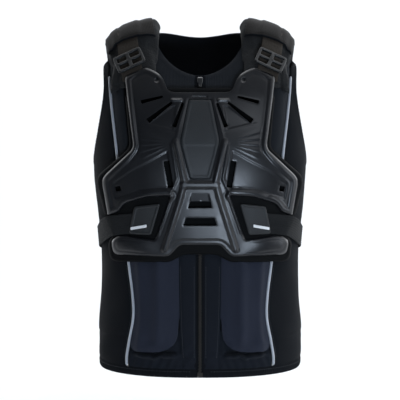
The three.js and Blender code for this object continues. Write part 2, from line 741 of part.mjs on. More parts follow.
// Ladder buckle: a frame with two columns of two windows, lying on the strap over the shell's tab
function buckle(side) {
  const { width, height, thick, rim, bar, spine, corner, windowCorner } = BUCKLE;
  const box = (left, right, low, high, round) =>
    [[left, low], [right, low], [right, high], [left, high]].map((point) => ({ point, round }));
  const shape = trace(new THREE.Shape(), box(-width / 2, width / 2, -height / 2, height / 2, corner));
  for (const column of [-1, 1]) {
    for (const row of [-1, 1]) {
      const xs = [column * (spine / 2), column * (width / 2 - rim)].sort((a, b) => a - b);
      const zs = [row * (bar / 2), row * (height / 2 - rim)].sort((a, b) => a - b);
      shape.holes.push(trace(new THREE.Path(), box(...xs, ...zs, windowCorner)));
    }
  }
  const geometry = new THREE.ExtrudeGeometry(shape, { depth: thick, bevelEnabled: false, curveSegments: 1 });
  const [upper, middle, lower] = shoulderStations().slice(-3);
  const mirror = new THREE.Vector3(side, 1, 1);
  const up = upper.at.clone().sub(lower.at).normalize().multiply(mirror);
  const across = up.clone().cross(middle.out.clone().multiply(mirror)).normalize();
  const out = across.clone().cross(up);
  const at = middle.at.clone().multiply(mirror).addScaledVector(out, WEBBING_THICK / 2 + SEAT.buckle);
  return geometry.applyMatrix4(new THREE.Matrix4().makeBasis(across, up, out).setPosition(at));
}

const vest = new THREE.Group();

function add(name, geometry, material) {
  const mesh = new THREE.Mesh(geometry, material);
  mesh.name = name;
  vest.add(mesh);
}

bodyPanels(add);
add("zip_slider", zipSlider(), MATERIALS.zip);
add("chest_shell", chestShell(), MATERIALS.shell);
add("centre_insert", centreInsert(), MATERIALS.insert);
add("chest_liner", chestLiner(), MATERIALS.foam);
add("back_plate", backPlate(), MATERIALS.shell);
for (const [side, hand] of [[1, "left"], [-1, "right"]]) {
  add(`piping_${hand}`, piping(side), MATERIALS.piping);
  add(`yoke_${hand}`, yoke(side), MATERIALS.padCloth);
  add(`shoulder_strap_${hand}`, shoulderStrap(side), MATERIALS.webbing);
  add(`buckle_${hand}`, buckle(side), MATERIALS.buckle);
  add(`side_strap_${hand}`, sideStrap(side), MATERIALS.webbing);
  add(`strap_patch_${hand}`, strapPatch(side), MATERIALS.rubber);
  add(`reflective_tab_${hand}`, reflectiveTab(side), MATERIALS.stripe);
}

export default vest;
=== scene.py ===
"""Airbag vest: the looks of its zip-front body, moulded chest guard, shoulder yokes, buckles and straps.

Lengths are millimetres while a piece is shaped, and metres once it is made. +Z is up, the front faces
-Y and +X is the wearer's left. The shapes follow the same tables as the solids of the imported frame.
"""

import logging
import math
from collections.abc import Callable, Sequence
from dataclasses import dataclass
from enum import Enum
from functools import partial

import bmesh
import bpy
import numpy as np
from mathutils import Matrix, Vector
from mathutils.bvhtree import BVHTree

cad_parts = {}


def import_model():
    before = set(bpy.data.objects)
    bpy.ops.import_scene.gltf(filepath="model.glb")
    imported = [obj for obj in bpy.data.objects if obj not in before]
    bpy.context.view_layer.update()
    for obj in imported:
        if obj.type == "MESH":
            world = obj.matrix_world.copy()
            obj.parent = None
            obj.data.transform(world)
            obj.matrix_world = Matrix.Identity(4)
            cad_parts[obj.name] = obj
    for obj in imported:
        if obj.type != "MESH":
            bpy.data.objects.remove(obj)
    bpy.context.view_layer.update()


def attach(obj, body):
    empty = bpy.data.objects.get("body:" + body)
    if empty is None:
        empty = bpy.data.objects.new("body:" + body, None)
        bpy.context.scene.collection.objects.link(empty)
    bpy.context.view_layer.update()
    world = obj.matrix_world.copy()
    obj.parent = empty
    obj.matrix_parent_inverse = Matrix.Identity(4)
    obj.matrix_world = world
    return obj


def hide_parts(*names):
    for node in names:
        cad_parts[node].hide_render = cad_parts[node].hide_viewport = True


LOG = logging.getLogger("airbag_vest")
MM = 0.001
TINY = 1e-9
BODY = "root"
Array = np.ndarray
BMesh = bmesh.types.BMesh
Field = Callable[[Array], Array]


class Side(Enum):
    """Side of the wearer that a piece lies on."""

    LEFT = 1
    RIGHT = -1

    @property
    def word(self) -> str:
        """Ending of the names on this side."""
        return self.name.lower()

    def mirror(self, vectors: Array) -> Array:
        """Bring places or ways of the left side to this side."""
        return vectors * (self.value, 1, 1)


class Texture(Enum):
    """What the making of a material leaves on its surface."""

    GRAIN = "spark-eroded grain of a mould"
    FOAM = "closed skin of a foam"
    KNIT = "wales and courses of a knit"
    WEAVE = "crossed threads of a weave"
    MESH = "holes of a spacer mesh"
    BEADS = "glass beads of a reflective film"


@dataclass(frozen=True)
class Finish:
    """One real material: its two close tones, its gloss and its texture.

    Attributes:
        name: Common name of the material.
        colour: Main tone, as an sRGB hex value.
        shade: Second tone that the first drifts into, as an sRGB hex value.
        roughness: Mean roughness of the surface.
        texture: Kind of fine relief.
        pitch: Spacing of the fine relief in millimetres.
        depth: Height of the fine relief in millimetres.
        specular: Strength of the mirror reflection, where 0.5 is an IOR of 1.5.
        sheen: Strength of the fuzz at grazing angles.
    """

    name: str
    colour: str
    shade: str
    roughness: float
    texture: Texture
    pitch: float
    depth: float
    specular: float = 0.5
    sheen: float = 0.0


# Injection-moulded polypropylene: satin black, with soft wide highlights over a fine grain
SHELL_PLASTIC = Finish("moulded_polypropylene", "#111317", "#17191d", 0.33, Texture.GRAIN, 1.1, 0.025)
# The same plastic from a coarser mould, so that it stays greyer and duller
INSERT_PLASTIC = Finish("grained_polypropylene", "#1d2023", "#25292c", 0.52, Texture.GRAIN, 1.8, 0.16)
# Cross-linked EVA foam: dull, with a closed skin
LINER_FOAM = Finish("eva_foam", "#0c0d0e", "#121314", 0.7, Texture.FOAM, 2.2, 0.10, 0.06)
# Polyester spacer mesh over foam: holes of about 3 mm that read as a dark speckle
PAD_MESH = Finish("spacer_mesh", "#2b2c2d", "#1c1d1e", 0.88, Texture.MESH, 3.2, 0.5, 0.15, 0.02)
# Woven polyester cover and webbing: brownish black. The 2.4 mm weave is coarser than life, to show
COVER_WEAVE = Finish("polyester_canvas", "#242221", "#1b1a19", 0.85, Texture.WEAVE, 2.4, 0.28, 0.15, 0.02)
WEBBING = Finish("polyester_webbing", "#36312b", "#2a2521", 0.8, Texture.WEAVE, 2.6, 0.35, 0.2, 0.02)
ELASTIC = Finish("knitted_elastic", "#232425", "#1b1c1d", 0.88, Texture.WEAVE, 2.0, 0.25, 0.12, 0.01)
# Acetal buckle: smoother than the shell
BUCKLE_PLASTIC = Finish("acetal", "#131517", "#191b1d", 0.36, Texture.GRAIN, 0.9, 0.03)
# Moulded rubber strap end: dull with a fine texture
PATCH_RUBBER = Finish("moulded_rubber", "#222527", "#1c1e20", 0.55, Texture.FOAM, 1.6, 0.12, 0.4)
# Polyamide and elastane stretch cloth: a tight knit drawn at 1.6 mm, coarser than life, to show
NAVY_CLOTH = Finish("navy_stretch_knit", "#1e222c", "#282c38", 0.9, Texture.KNIT, 1.6, 0.16, 0.12, 0.04)
BLACK_CLOTH = Finish("black_stretch_knit", "#0e0f12", "#13161a", 0.92, Texture.KNIT, 1.6, 0.16, 0.08, 0.01)
INK_CLOTH = Finish("ink_stretch_knit", "#14171c", "#1b1f26", 0.92, Texture.KNIT, 1.6, 0.16, 0.08, 0.02)
CHARCOAL_CLOTH = Finish(
    "charcoal_stretch_knit", "#1b1d21", "#24272b", 0.92, Texture.KNIT, 1.9, 0.18, 0.1, 0.02
)
# Piping and stripe of retro-reflective cloth: pale grey, with a glitter of glass beads
PIPING_FILM = Finish("reflective_piping", "#aeb3ba", "#979da6", 0.42, Texture.BEADS, 0.9, 0.05)
STRIPE_FILM = Finish("reflective_film", "#eeeff0", "#dfe1e4", 0.4, Texture.BEADS, 0.9, 0.04)
# Nylon coil zip, its tape and its lacquered slider
ZIP_NYLON = Finish("zip_nylon", "#25221e", "#1e1b18", 0.6, Texture.WEAVE, 1.8, 0.15, 0.2)
ZIP_SLIDER = Finish("lacquered_zinc", "#1d1e20", "#26282a", 0.28, Texture.GRAIN, 1.0, 0.02)
# Polyester thread, a tone paler than the cloth that it holds
THREAD = Finish("polyester_thread", "#26292e", "#1f2226", 0.6, Texture.GRAIN, 0.6, 0.03)
FLOOR_PAINT = Finish("matt_floor_paint", "#f2f3f4", "#eff0f1", 0.9, Texture.GRAIN, 8.0, 0.02, 0.1)


def linear(colour: str) -> tuple[float, float, float, float]:
    """Turn an sRGB hex value into linear light."""
    parts = (int(colour[k : k + 2], 16) / 255 for k in (1, 3, 5))
    return (*(v / 12.92 if v <= 0.04045 else ((v + 0.055) / 1.055) ** 2.4 for v in parts), 1.0)


def add_node(tree: bpy.types.NodeTree, kind: str, settings: dict | None = None, **links) -> bpy.types.Node:
    """Add a node, set it and link its inputs.

    Args:
        tree: Node tree that takes it.
        kind: Node type without its prefix, such as "TexNoise".
        settings: Values by the name or number of an input, or by the name of a property.
        **links: Output sockets by the name of the input that they feed, with _ for a space.

    Returns:
        The new node.
    """
    node = tree.nodes.new(f"ShaderNode{kind}")
    for name, value in (settings or {}).items():
        if isinstance(name, int) or name in node.inputs:
            node.inputs[name].default_value = value
        else:
            setattr(node, name, value)
    for name, socket in links.items():
        tree.links.new(socket, node.inputs[name.replace("_", " ")])
    return node


class FinishBook:
    """Materials by their finish, each made once."""

    WAVE_TURNS = math.pi / 10
    WAVER = 0.4
    KNIT_STRETCH = 0.7
    GRAIN_DETAIL = 2.0
    # The drift from one tone to the other: its size in millimetres, detail and usual values
    DRIFT_SIZE = 38.0
    DRIFT_DETAIL = 3.0
    DRIFT_SPAN = (0.3, 0.7)
    ROUGHNESS_DRIFT = 0.05
    # On cloth the tone follows the threads too: their weight beside the drift, and the weight of both
    THREAD_WEIGHT = 0.6
    CLOTH_WEIGHT = 0.62

    def __init__(self) -> None:
        """Start with no material."""
        self.made: dict[str, bpy.types.Material] = {}

    def material(self, finish: Finish) -> bpy.types.Material:
        """Give the material of a finish, making it if it is new.

        Args:
            finish: Finish of the piece.

        Returns:
            Its material.
        """
        if finish.name not in self.made:
            self.made[finish.name] = self._make(finish)
        return self.made[finish.name]

    def _relief(
        self, tree: bpy.types.NodeTree, finish: Finish, spots: bpy.types.Node
    ) -> bpy.types.NodeSocket:
        """Add the fine relief of a finish.

        Args:
            tree: Node tree that takes it.
            finish: Finish with the kind and pitch of the relief.
            spots: Texture Coordinate node.

        Returns:
            Socket with the height, from 0 to 1.
        """
        pitch = finish.pitch * MM
        where = spots.outputs["Object"]
        if finish.texture in (Texture.KNIT, Texture.WEAVE):
            knit = finish.texture is Texture.KNIT
            joined = add_node(tree, "Math", {"operation": "ADD" if knit else "MULTIPLY"})
            for entry, axis, stretch in zip(joined.inputs, "XY", (1.0, self.KNIT_STRETCH if knit else 1.0)):
                scale = self.WAVE_TURNS / (pitch * stretch)
                settings = {"bands_direction": axis, "Scale": scale, "Distortion": self.WAVER}
                band = add_node(tree, "TexWave", settings, Vector=spots.outputs["UV"])
                tree.links.new(band.outputs["Fac"], entry)
            return joined.outputs["Value"]
        if finish.texture is Texture.GRAIN:
            settings = {"Scale": 1 / pitch, "Detail": self.GRAIN_DETAIL}
            return add_node(tree, "TexNoise", settings, Vector=where).outputs["Fac"]
        feature = "SMOOTH_F1" if finish.texture is Texture.FOAM else "F1"
        settings = {"Scale": 1 / pitch, "feature": feature}
        return add_node(tree, "TexVoronoi", settings, Vector=where).outputs["Distance"]

    def _make(self, finish: Finish) -> bpy.types.Material:
        """Build the node tree of a finish.

        Args:
            finish: Finish to build.

        Returns:
            The new material.
        """
        material = bpy.data.materials.new(finish.name)
        material.use_nodes = True
        tree = material.node_tree
        tree.nodes.clear()
        spots = add_node(tree, "TexCoord")
        height = self._relief(tree, finish, spots)
        settings = {"Scale": 1 / (self.DRIFT_SIZE * MM), "Detail": self.DRIFT_DETAIL}
        drift = add_node(tree, "TexNoise", settings, Vector=spots.outputs["Object"]).outputs["Fac"]
        tone = drift
        if finish.texture in (Texture.MESH, Texture.WEAVE, Texture.KNIT):
            both = add_node(tree, "Math", {"operation": "MULTIPLY_ADD", 1: self.THREAD_WEIGHT}, Value=height)
            tree.links.new(drift, both.inputs[2])
            settings = {"operation": "MULTIPLY", 1: self.CLOTH_WEIGHT}
            tone = add_node(tree, "Math", settings, Value=both.outputs[0]).outputs[0]
        mix = add_node(tree, "Mix", {"data_type": "RGBA", 6: linear(finish.colour), 7: linear(finish.shade)})
        tree.links.new(tone, mix.inputs[0])
        ends = (finish.roughness - self.ROUGHNESS_DRIFT, finish.roughness + self.ROUGHNESS_DRIFT)
        settings = dict(zip(("From Min", "From Max", "To Min", "To Max"), (*self.DRIFT_SPAN, *ends)))
        gloss = add_node(tree, "MapRange", settings, Value=drift)
        bump = add_node(tree, "Bump", {"Strength": 1.0, "Distance": finish.depth * MM}, Height=height)
        shader = add_node(
            tree,
            "BsdfPrincipled",
            {"Specular IOR Level": finish.specular, "Sheen Weight": finish.sheen},
            Base_Color=mix.outputs[2],
            Roughness=gloss.outputs["Result"],
            Normal=bump.outputs["Normal"],
        )
        add_node(tree, "OutputMaterial", Surface=shader.outputs["BSDF"])
        return material


class Curve:
    """Smooth curve through the rows of a short table, level with its end rows beyond them."""

    def __init__(self, keys: Sequence[float], values: Sequence) -> None:
        """Store the rows and the slopes between their neighbours.

        Args:
            keys: Growing heights, angles or lengths of the rows.
            values: One number or one point for each row.
        """
        self.keys = np.asarray(keys, float)
        self.values = np.asarray(values, float).reshape(len(self.keys), -1)
        rows = np.arange(len(self.keys))
        after, before = np.minimum(rows + 1, rows[-1]), np.maximum(rows - 1, 0)
        spans = (self.keys[after] - self.keys[before])[:, None]
        self.slopes = (self.values[after] - self.values[before]) / spans

    def points(self, keys: Array) -> Array:
        """Read the curve as rows of coordinates.

        Args:
            keys: Where to read it.

        Returns:
            One row for each key.
        """
        place = np.clip(np.asarray(keys, float), self.keys[0], self.keys[-1])
        k = np.clip(np.searchsorted(self.keys, place, side="right") - 1, 0, len(self.keys) - 2)
        span = (self.keys[k + 1] - self.keys[k])[..., None]
        t = (place - self.keys[k])[..., None] / span
        ease = t * t * (3 - 2 * t)
        bend = self.slopes[k] * t * (1 - t) ** 2 - self.slopes[k + 1] * t * t * (1 - t)
        return self.values[k] * (1 - ease) + self.values[k + 1] * ease + span * bend

    def at(self, keys: Array) -> Array:
        """Read a curve of single numbers."""
        return self.points(keys)[..., 0]


def ramp(value: Array, start: float, end: float) -> Array:
    """Rise smoothly from 0 to 1."""
    t = np.clip((value - start) / (end - start), 0, 1)
    return t * t * (3 - 2 * t)


@dataclass(frozen=True)
class Fade:
    """Smooth rise: its full size, and the values where it starts and where it is full."""

    size: float
    start: float
    end: float

    def __call__(self, value: Array) -> Array:
        """Give the rise at some values."""
        return self.size * ramp(value, self.start, self.end)


@dataclass(frozen=True)
class Hump:
    """Smooth hump: its size, its middle, and how far it reaches on both sides."""

    size: float
    middle: float
    reach: float

    def __call__(self, value: Array) -> Array:
        """Give the rise at some values."""
        return self.size * ramp(np.abs(value - self.middle), self.reach, 0)


@dataclass(frozen=True)
class Bell:
    """Bell curve: its size, its middle, and how far from it the curve falls to 1/e."""

    size: float
    middle: float
    width: float

    def __call__(self, value: Array) -> Array:
        """Give the rise at some values."""
        return self.size * np.exp(-(((value - self.middle) / self.width) ** 2))


def rounding(edge: Array, radius: float) -> Array:
    """Round an edge off as a quarter circle."""
    share = 1 - np.clip(edge / radius, 0, 1)
    return 1 - np.sqrt(np.clip(1 - share**2, 0, 1))


def unit(vectors: Array) -> Array:
    """Bring rows of vectors to a length of 1."""
    return vectors / np.maximum(np.linalg.norm(vectors, axis=-1, keepdims=True), TINY)


def normals(surface: Field, spots: Array, reach: float) -> Array:
    """Find the way out of a surface."""
    across, up = (surface(spots + step) - surface(spots - step) for step in np.eye(2) * reach)
    return unit(np.cross(across, up))


def nearest(spots: Array, starts: Array, ends: Array) -> Array:
    """Measure the distance of flat spots to the nearest of some straight lines.

    Args:
        spots: Rows of flat coordinates.
        starts: First ends of the lines.
        ends: Second ends of the lines.

    Returns:
        Distances.
    """
    least = np.full(len(spots), np.inf)
    for start, way in zip(starts, ends - starts):
        rest = spots - start
        t = np.clip(rest @ way / max(way @ way, TINY), 0, 1)
        least = np.minimum(least, ((rest - t[:, None] * way) ** 2).sum(axis=1))
    return np.sqrt(least)


def lengths(places: Array) -> Array:
    """Measure the length of a line of places from its start to each of them."""
    return np.concatenate([[0], np.cumsum(np.linalg.norm(np.diff(places, axis=0), axis=1))])


def add_object(name: str, data: bpy.types.ID) -> bpy.types.Object:
    """Add an object to the scene.

    Args:
        name: Name of the object.
        data: Its mesh, light or camera.

    Returns:
        The new object, at the origin.
    """
    item = bpy.data.objects.new(name, data)
    bpy.context.scene.collection.objects.link(item)
    return item


def to_mesh(name: str, bm: BMesh, scale: float = MM) -> bpy.types.Mesh:
    """Turn a bmesh into a mesh in metres.

    Args:
        name: Name of the mesh.
        bm: The bmesh, which is used up.
        scale: Its unit in metres.

    Returns:
        The new mesh.
    """
    bmesh.ops.scale(bm, vec=(scale, scale, scale), verts=bm.verts)
    mesh = bpy.data.meshes.new(name)
    bm.to_mesh(mesh)
    bm.free()
    return mesh


def search_tree(mesh: bpy.types.Mesh) -> BVHTree:
    """Make a tree that finds where rays meet a mesh."""
    return BVHTree.FromPolygons([v.co for v in mesh.vertices], [p.vertices for p in mesh.polygons])


def cloth_area(bm: BMesh) -> float:
    """Measure one face of a cloth with two layers."""
    return sum(face.calc_area() for face in bm.faces) / 2 * MM * MM


class Outline:
    """Closed flat outline with rounded corners.

    A corner is its x, its z and how far its rounding reaches along both sides.
    """

    ROUND_STEPS = 6
    LONGEST_ROUND = 0.45
    WEDGE_ROUND = 1.2

    def __init__(self, *corners: tuple[float, float, float]) -> None:
        """Round the corners.

        Args:
            *corners: The corners, in order round the outline.
        """
        spots = np.array([corner[:2] for corner in corners], float)
        points = []
        for k, (_, _, rounded) in enumerate(corners):
            ends = []
            for other in (spots[k - 1], spots[(k + 1) % len(corners)]):
                way = other - spots[k]
                reach = min(rounded, self.LONGEST_ROUND * np.linalg.norm(way))
                ends.append(spots[k] + reach * unit(way))
            for t in np.linspace(0, 1, self.ROUND_STEPS if rounded else 1):
                points.append((1 - t) ** 2 * ends[0] + 2 * t * (1 - t) * spots[k] + t * t * ends[1])
        self.points = np.array(points)

    @classmethod
    def mirrored(cls, *corners: tuple[float, float, float]) -> "Outline":
        """Make an outline that is alike on both sides from the corners of its left half."""
        return cls(*corners, *((-x, z, rounded) for x, z, rounded in reversed(corners)))

    @classmethod
    def wedge(cls, *ends: tuple[float, float, float]) -> "Outline":
        """Make a wedge-shaped slot with square ends.

        Args:
            *ends: X, z and width of its two ends.

        Returns:
            The slot's outline.
        """
        (x0, z0, width0), (x1, z1, width1) = ends
        across = unit(np.array([z0 - z1, x1 - x0])) / 2
        start, end = np.array([x0, z0]), np.array([x1, z1])
        first, second = across * width0, across * width1
        rim = (start + first, end + second, end - second, start - first)
        return cls(*((*spot, cls.WEDGE_ROUND) for spot in rim))

    def distance(self, spots: Array) -> Array:
        """Measure the distance to the outline.

        Args:
            spots: Rows of flat coordinates.

        Returns:
            Distances, negative inside.
        """
        ends = np.roll(self.points, -1, axis=0)
        inside = np.zeros(len(spots), bool)
        for start, end in zip(self.points, ends):
            if start[1] != end[1]:
                way, rest = end - start, spots - start
                crosses = (start[1] > spots[:, 1]) != (end[1] > spots[:, 1])
                inside ^= crosses & (rest[:, 0] < way[0] * rest[:, 1] / way[1])
        return np.where(inside, -1, 1) * nearest(spots, self.points, ends)


class Stroke:
    """Open flat line of points with a width."""

    def __init__(self, width: float, *line: tuple[float, float]) -> None:
        """Store the line."""
        self.width = width
        self.line = np.array(line, float)

    def distance(self, spots: Array) -> Array:
        """Measure the distance to the edge of the stroke."""
        return nearest(spots, self.line[:-1], self.line[1:]) - self.width / 2


class Patch:
    """Grid of faces that starts flat, and is then trimmed, laid on a surface and given a second layer."""

    SNAPS = 4
    SMOOTHS = 3
    # Width of the strip along the rim that is smoothed, in faces
    SMOOTH_STRIP = 1.5
    # Step that the slope of a distance is measured over, and the least slope that is trusted, squared
    PROBE = 0.05
    LEAST_SLOPE = 0.2
    MERGE = 1e-3
    ON_MIDDLE = 1e-6

    def __init__(self, low: tuple[float, float], high: tuple[float, float], step: float) -> None:
        """Make the flat grid.

        Args:
            low: Lowest flat coordinates.
            high: Highest flat coordinates.
            step: Longest side of a face.
        """
        self.low, self.high, self.step = np.array(low), np.array(high), step
        size = self.high - self.low
        columns, rows = (max(1, math.ceil(length / step)) for length in size)
        self.bm = bmesh.new()
        bmesh.ops.create_grid(self.bm, x_segments=columns, y_segments=rows, size=0.5)
        bmesh.ops.scale(self.bm, vec=(*size, 1), verts=self.bm.verts)
        bmesh.ops.translate(self.bm, vec=(*(self.low + self.high) / 2, 0), verts=self.bm.verts)
        self.flat = self._spots()

    @property
    def left(self) -> Array:
        """Flat coordinates of all points, with those of the right half mirrored to the left."""
        return np.stack([np.abs(self.flat[:, 0]), self.flat[:, 1]], axis=1)

    def inset(self) -> Array:
        """Measure how far each point lies inside the four sides of the grid."""
        return np.minimum(self.flat - self.low, self.high - self.flat).min(axis=1)

    def _spots(self) -> Array:
        """Read the flat coordinates of all points."""
        return np.array([vert.co.xy for vert in self.bm.verts])

    def trim(self, distance: Field) -> "Patch":
        """Cut the grid back to where a distance is negative, with its rim on the line where it is 0.

        Args:
            distance: Distance of flat spots to the outline.

        Returns:
            The patch itself.
        """
        gap = distance(self._spots())
        away = [vert for vert, value in zip(self.bm.verts, gap) if value > self.step / 2]
        bmesh.ops.delete(self.bm, geom=away, context="VERTS")
        while pinched := [
            vert
            for vert in self.bm.verts
            if not vert.link_faces or sum(edge.is_boundary for edge in vert.link_edges) > 2
        ]:
            bmesh.ops.delete(self.bm, geom=pinched, context="VERTS")
        gap = distance(self._spots())
        near = [v for v, value in zip(self.bm.verts, gap) if value > -self.SMOOTH_STRIP * self.step]
        rim = [v for v in near if v.is_boundary]
        if rim:
            self._snap(rim, distance)
            inner = [v for v in near if not v.is_boundary]
            for _ in range(self.SMOOTHS):
                bmesh.ops.smooth_vert(self.bm, verts=inner, factor=0.5, use_axis_x=True, use_axis_y=True)
            self.flat = self._spots()
        return self

    def _snap(self, rim: Sequence[bmesh.types.BMVert], distance: Field) -> None:
        """Move points of the rim onto the line where a distance is 0, those at x = 0 along it.

        Args:
            rim: The points.
            distance: Distance of flat spots to the outline.
        """
        held = np.array([abs(v.co.x) < self.ON_MIDDLE for v in rim])
        spots = np.array([v.co.xy for v in rim])
        for _ in range(self.SNAPS):
            gap = distance(spots)
            steps = [distance(spots + way) - distance(spots - way) for way in np.eye(2) * self.PROBE]
            slope = np.stack(steps, axis=1) / (2 * self.PROBE)
            spots = spots - slope * (gap / np.maximum((slope**2).sum(axis=1), self.LEAST_SLOPE))[:, None]
            spots[held, 0] = 0
        for vert, spot in zip(rim, spots):
            vert.co.xy = spot

    def mirror(self) -> "Patch":
        """Add the other half across x = 0.

        Returns:
            The patch itself.
        """
        geometry = [*self.bm.verts, *self.bm.edges, *self.bm.faces]
        bmesh.ops.mirror(self.bm, geom=geometry, matrix=Matrix(), merge_dist=self.MERGE, axis="X")
        bmesh.ops.recalc_face_normals(self.bm, faces=self.bm.faces)
        self.flat = self._spots()
        return self

    def lay(self, outer: Array, inner: Array | None = None) -> BMesh:
        """Move the points to their places, close the patch with a second layer and map it by its flat size.

        Args:
            outer: Place of each point.
            inner: Place of each point's copy in the second layer, if there is one.

        Returns:
            The mesh.
        """
        spot = self.bm.verts.layers.int.new("spot")
        for k, vert in enumerate(self.bm.verts):
            vert[spot] = k
            vert.co = outer[k]
        if inner is not None:
            made = bmesh.ops.extrude_face_region(self.bm, geom=list(self.bm.faces), use_keep_orig=True)
            for copy in made["geom"]:
                if isinstance(copy, bmesh.types.BMVert):
                    copy.co = inner[copy[spot]]
            bmesh.ops.recalc_face_normals(self.bm, faces=self.bm.faces)
        cloth = self.bm.loops.layers.uv.new("cloth")
        flat = self.flat * MM
        for face in self.bm.faces:
            for loop in face.loops:
                loop[cloth].uv = flat[loop.vert[spot]]
        return self.bm

    def raise_on(self, base: Array, out: Array, high: Array, low: Array) -> BMesh:
        """Lay the patch and its second layer at two heights over a base."""
        return self.lay(base + out * high[:, None], base + out * low[:, None])


@dataclass
class Maker:
    """Turns finished meshes into pieces of the vest.

    Attributes:
        book: Materials by their finish.
    """

    book: FinishBook

    SHARP_ANGLE = math.radians(42)

    def piece(
        self, name: str, shape: BMesh | bpy.types.Mesh, finish: Finish, slot: str, *nodes: str
    ) -> bpy.types.Object:
        """Make a piece and hang it on the frame.

        Args:
            name: Name of the piece.
            shape: A bmesh in millimetres, which is used up, or a mesh in metres.
            finish: Its finish.
            slot: The record's material slot; not used.
            *nodes: Nodes of the frame that it stands for.

        Returns:
            The new object.
        """
        mesh = to_mesh(name, shape) if isinstance(shape, BMesh) else shape
        mesh.materials.clear()
        mesh.materials.append(self.book.material(finish))
        mesh.shade_smooth()
        mesh.set_sharp_from_angle(angle=self.SHARP_ANGLE)
        piece = add_object(name, mesh)
        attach(piece, BODY)
        if nodes:
            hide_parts(*nodes)
        LOG.info("%s: %d faces, %s", name, len(mesh.polygons), finish.name)
        return piece


class Torso:
    """Surface of the soft body, and the wider curve that the guard lies on."""

    # Rows of height, half width, depth to the front and to the back, and how square the oval is
    SECTIONS = (
        (-560, 162, 121, 111, 2.3),
        (-470, 166, 123, 113, 2.3),
        (-400, 162, 121, 115, 2.3),
        (-330, 162, 124, 119, 2.4),
        (-260, 168, 130, 124, 2.6),
        (-190, 174, 134, 128, 2.7),
        (-130, 173, 126, 126, 2.6),
        (-80, 169, 106, 116, 2.5),
        (-40, 161, 80, 99, 2.4),
        (-12, 143, 58, 80, 2.3),
        (5, 118, 45, 66, 2.2),
        (15, 92, 38, 57, 2.1),
        (24, 68, 32, 48, 2.1),
    )
    TOP = SECTIONS[-1][0]
    GUARD_SPREAD = 24.0
    GUARD_PROBE = 1.0
    FLANK_PROBE = 0.5

    def __init__(self) -> None:
        """Lay a curve through each column of the sections."""
        heights, *columns = zip(*self.SECTIONS)
        self.half, self.front, self.back, self.square = (Curve(heights, column) for column in columns)

    def fullness(self, x: Array, z: Array, spread: float = 0.0) -> Array:
        """Find how much of its full depth the body has at places across.

        Args:
            x: Places across.
            z: Heights.
            spread: How much wider than the body the curve is.

        Returns:
            Shares, 1 in the middle and 0 at the sides.
        """
        square = self.square.at(z)
        share = np.clip(np.abs(x) / (self.half.at(z) + spread), 0, 1)
        return (1 - share**square) ** (1 / square)

    def on_front(self, spots: Array, height: Array | float, spread: float = 0.0) -> Array:
        """Lay flat spots on the front."""
        x, z = spots.T
        return np.stack([x, -self.front.at(z) * self.fullness(x, z, spread) - height, z], axis=1)

    def on_guard(self, spots: Array, height: Array | float = 0.0) -> Array:
        """Lay flat spots on the guard's curve, at a height over it."""
        return self.on_front(spots, height, self.GUARD_SPREAD)

    def lay_on_guard(self, patch: Patch, high: Array, low: Array | float, side: Side = Side.LEFT) -> BMesh:
        """Lay a patch on the guard's curve, with its two faces at two heights."""
        outer, inner = (side.mirror(self.on_guard(patch.flat, height)) for height in (high, low))
        return patch.lay(outer, inner)

    def guard_normals(self, spots: Array) -> Array:
        """Find the way out of the guard's curve at flat spots."""
        return normals(self.on_guard, spots, self.GUARD_PROBE)

    def on_back(self, spots: Array, height: Array | float) -> Array:
        """Lay flat spots on the back."""
        x, z = spots.T
        return np.stack([x, self.back.at(z) * self.fullness(x, z) + height, z], axis=1)

    def on_flank(self, turn: Array, z: Array) -> Array:
        """Find places round the body.

        Args:
            turn: Turns from the front in degrees, growing towards the left.
            z: Heights.

        Returns:
            The places.
        """
        s, c = np.sin(np.radians(turn)), np.cos(np.radians(turn))
        power = 2 / self.square.at(z)
        depth = np.where(c > 0, -self.front.at(z), -self.back.at(z))
        x = self.half.at(z) * np.sign(s) * np.abs(s) ** power
        return np.stack([x, depth * np.sign(c) * np.abs(c) ** power, z], axis=1)

    def around(self, turn: Array, z: Array) -> tuple[Array, Array]:
        """Find places round the body, and the ways out there."""
        spots = np.stack([turn, z], axis=1)
        return self.on_flank(turn, z), normals(lambda rows: self.on_flank(*rows.T), spots, self.FLANK_PROBE)

    def _turn(self, share: Array, z: Array) -> Array:
        """Find the turn that reaches a share of the half width, or past the side, of the depth."""
        return np.degrees(np.arcsin(np.clip(share, 0, 1) ** (self.square.at(z) / 2)))

    def turn_at_x(self, x: Array | float, z: Array) -> Array:
        """Find the turn from the front that reaches some x."""
        return self._turn(x / self.half.at(z), z)

    def turn_at_back_y(self, y: float, z: Array) -> Array:
        """Find the turn that reaches some y behind the middle."""
        return 90 + self._turn(y / self.back.at(z), z)


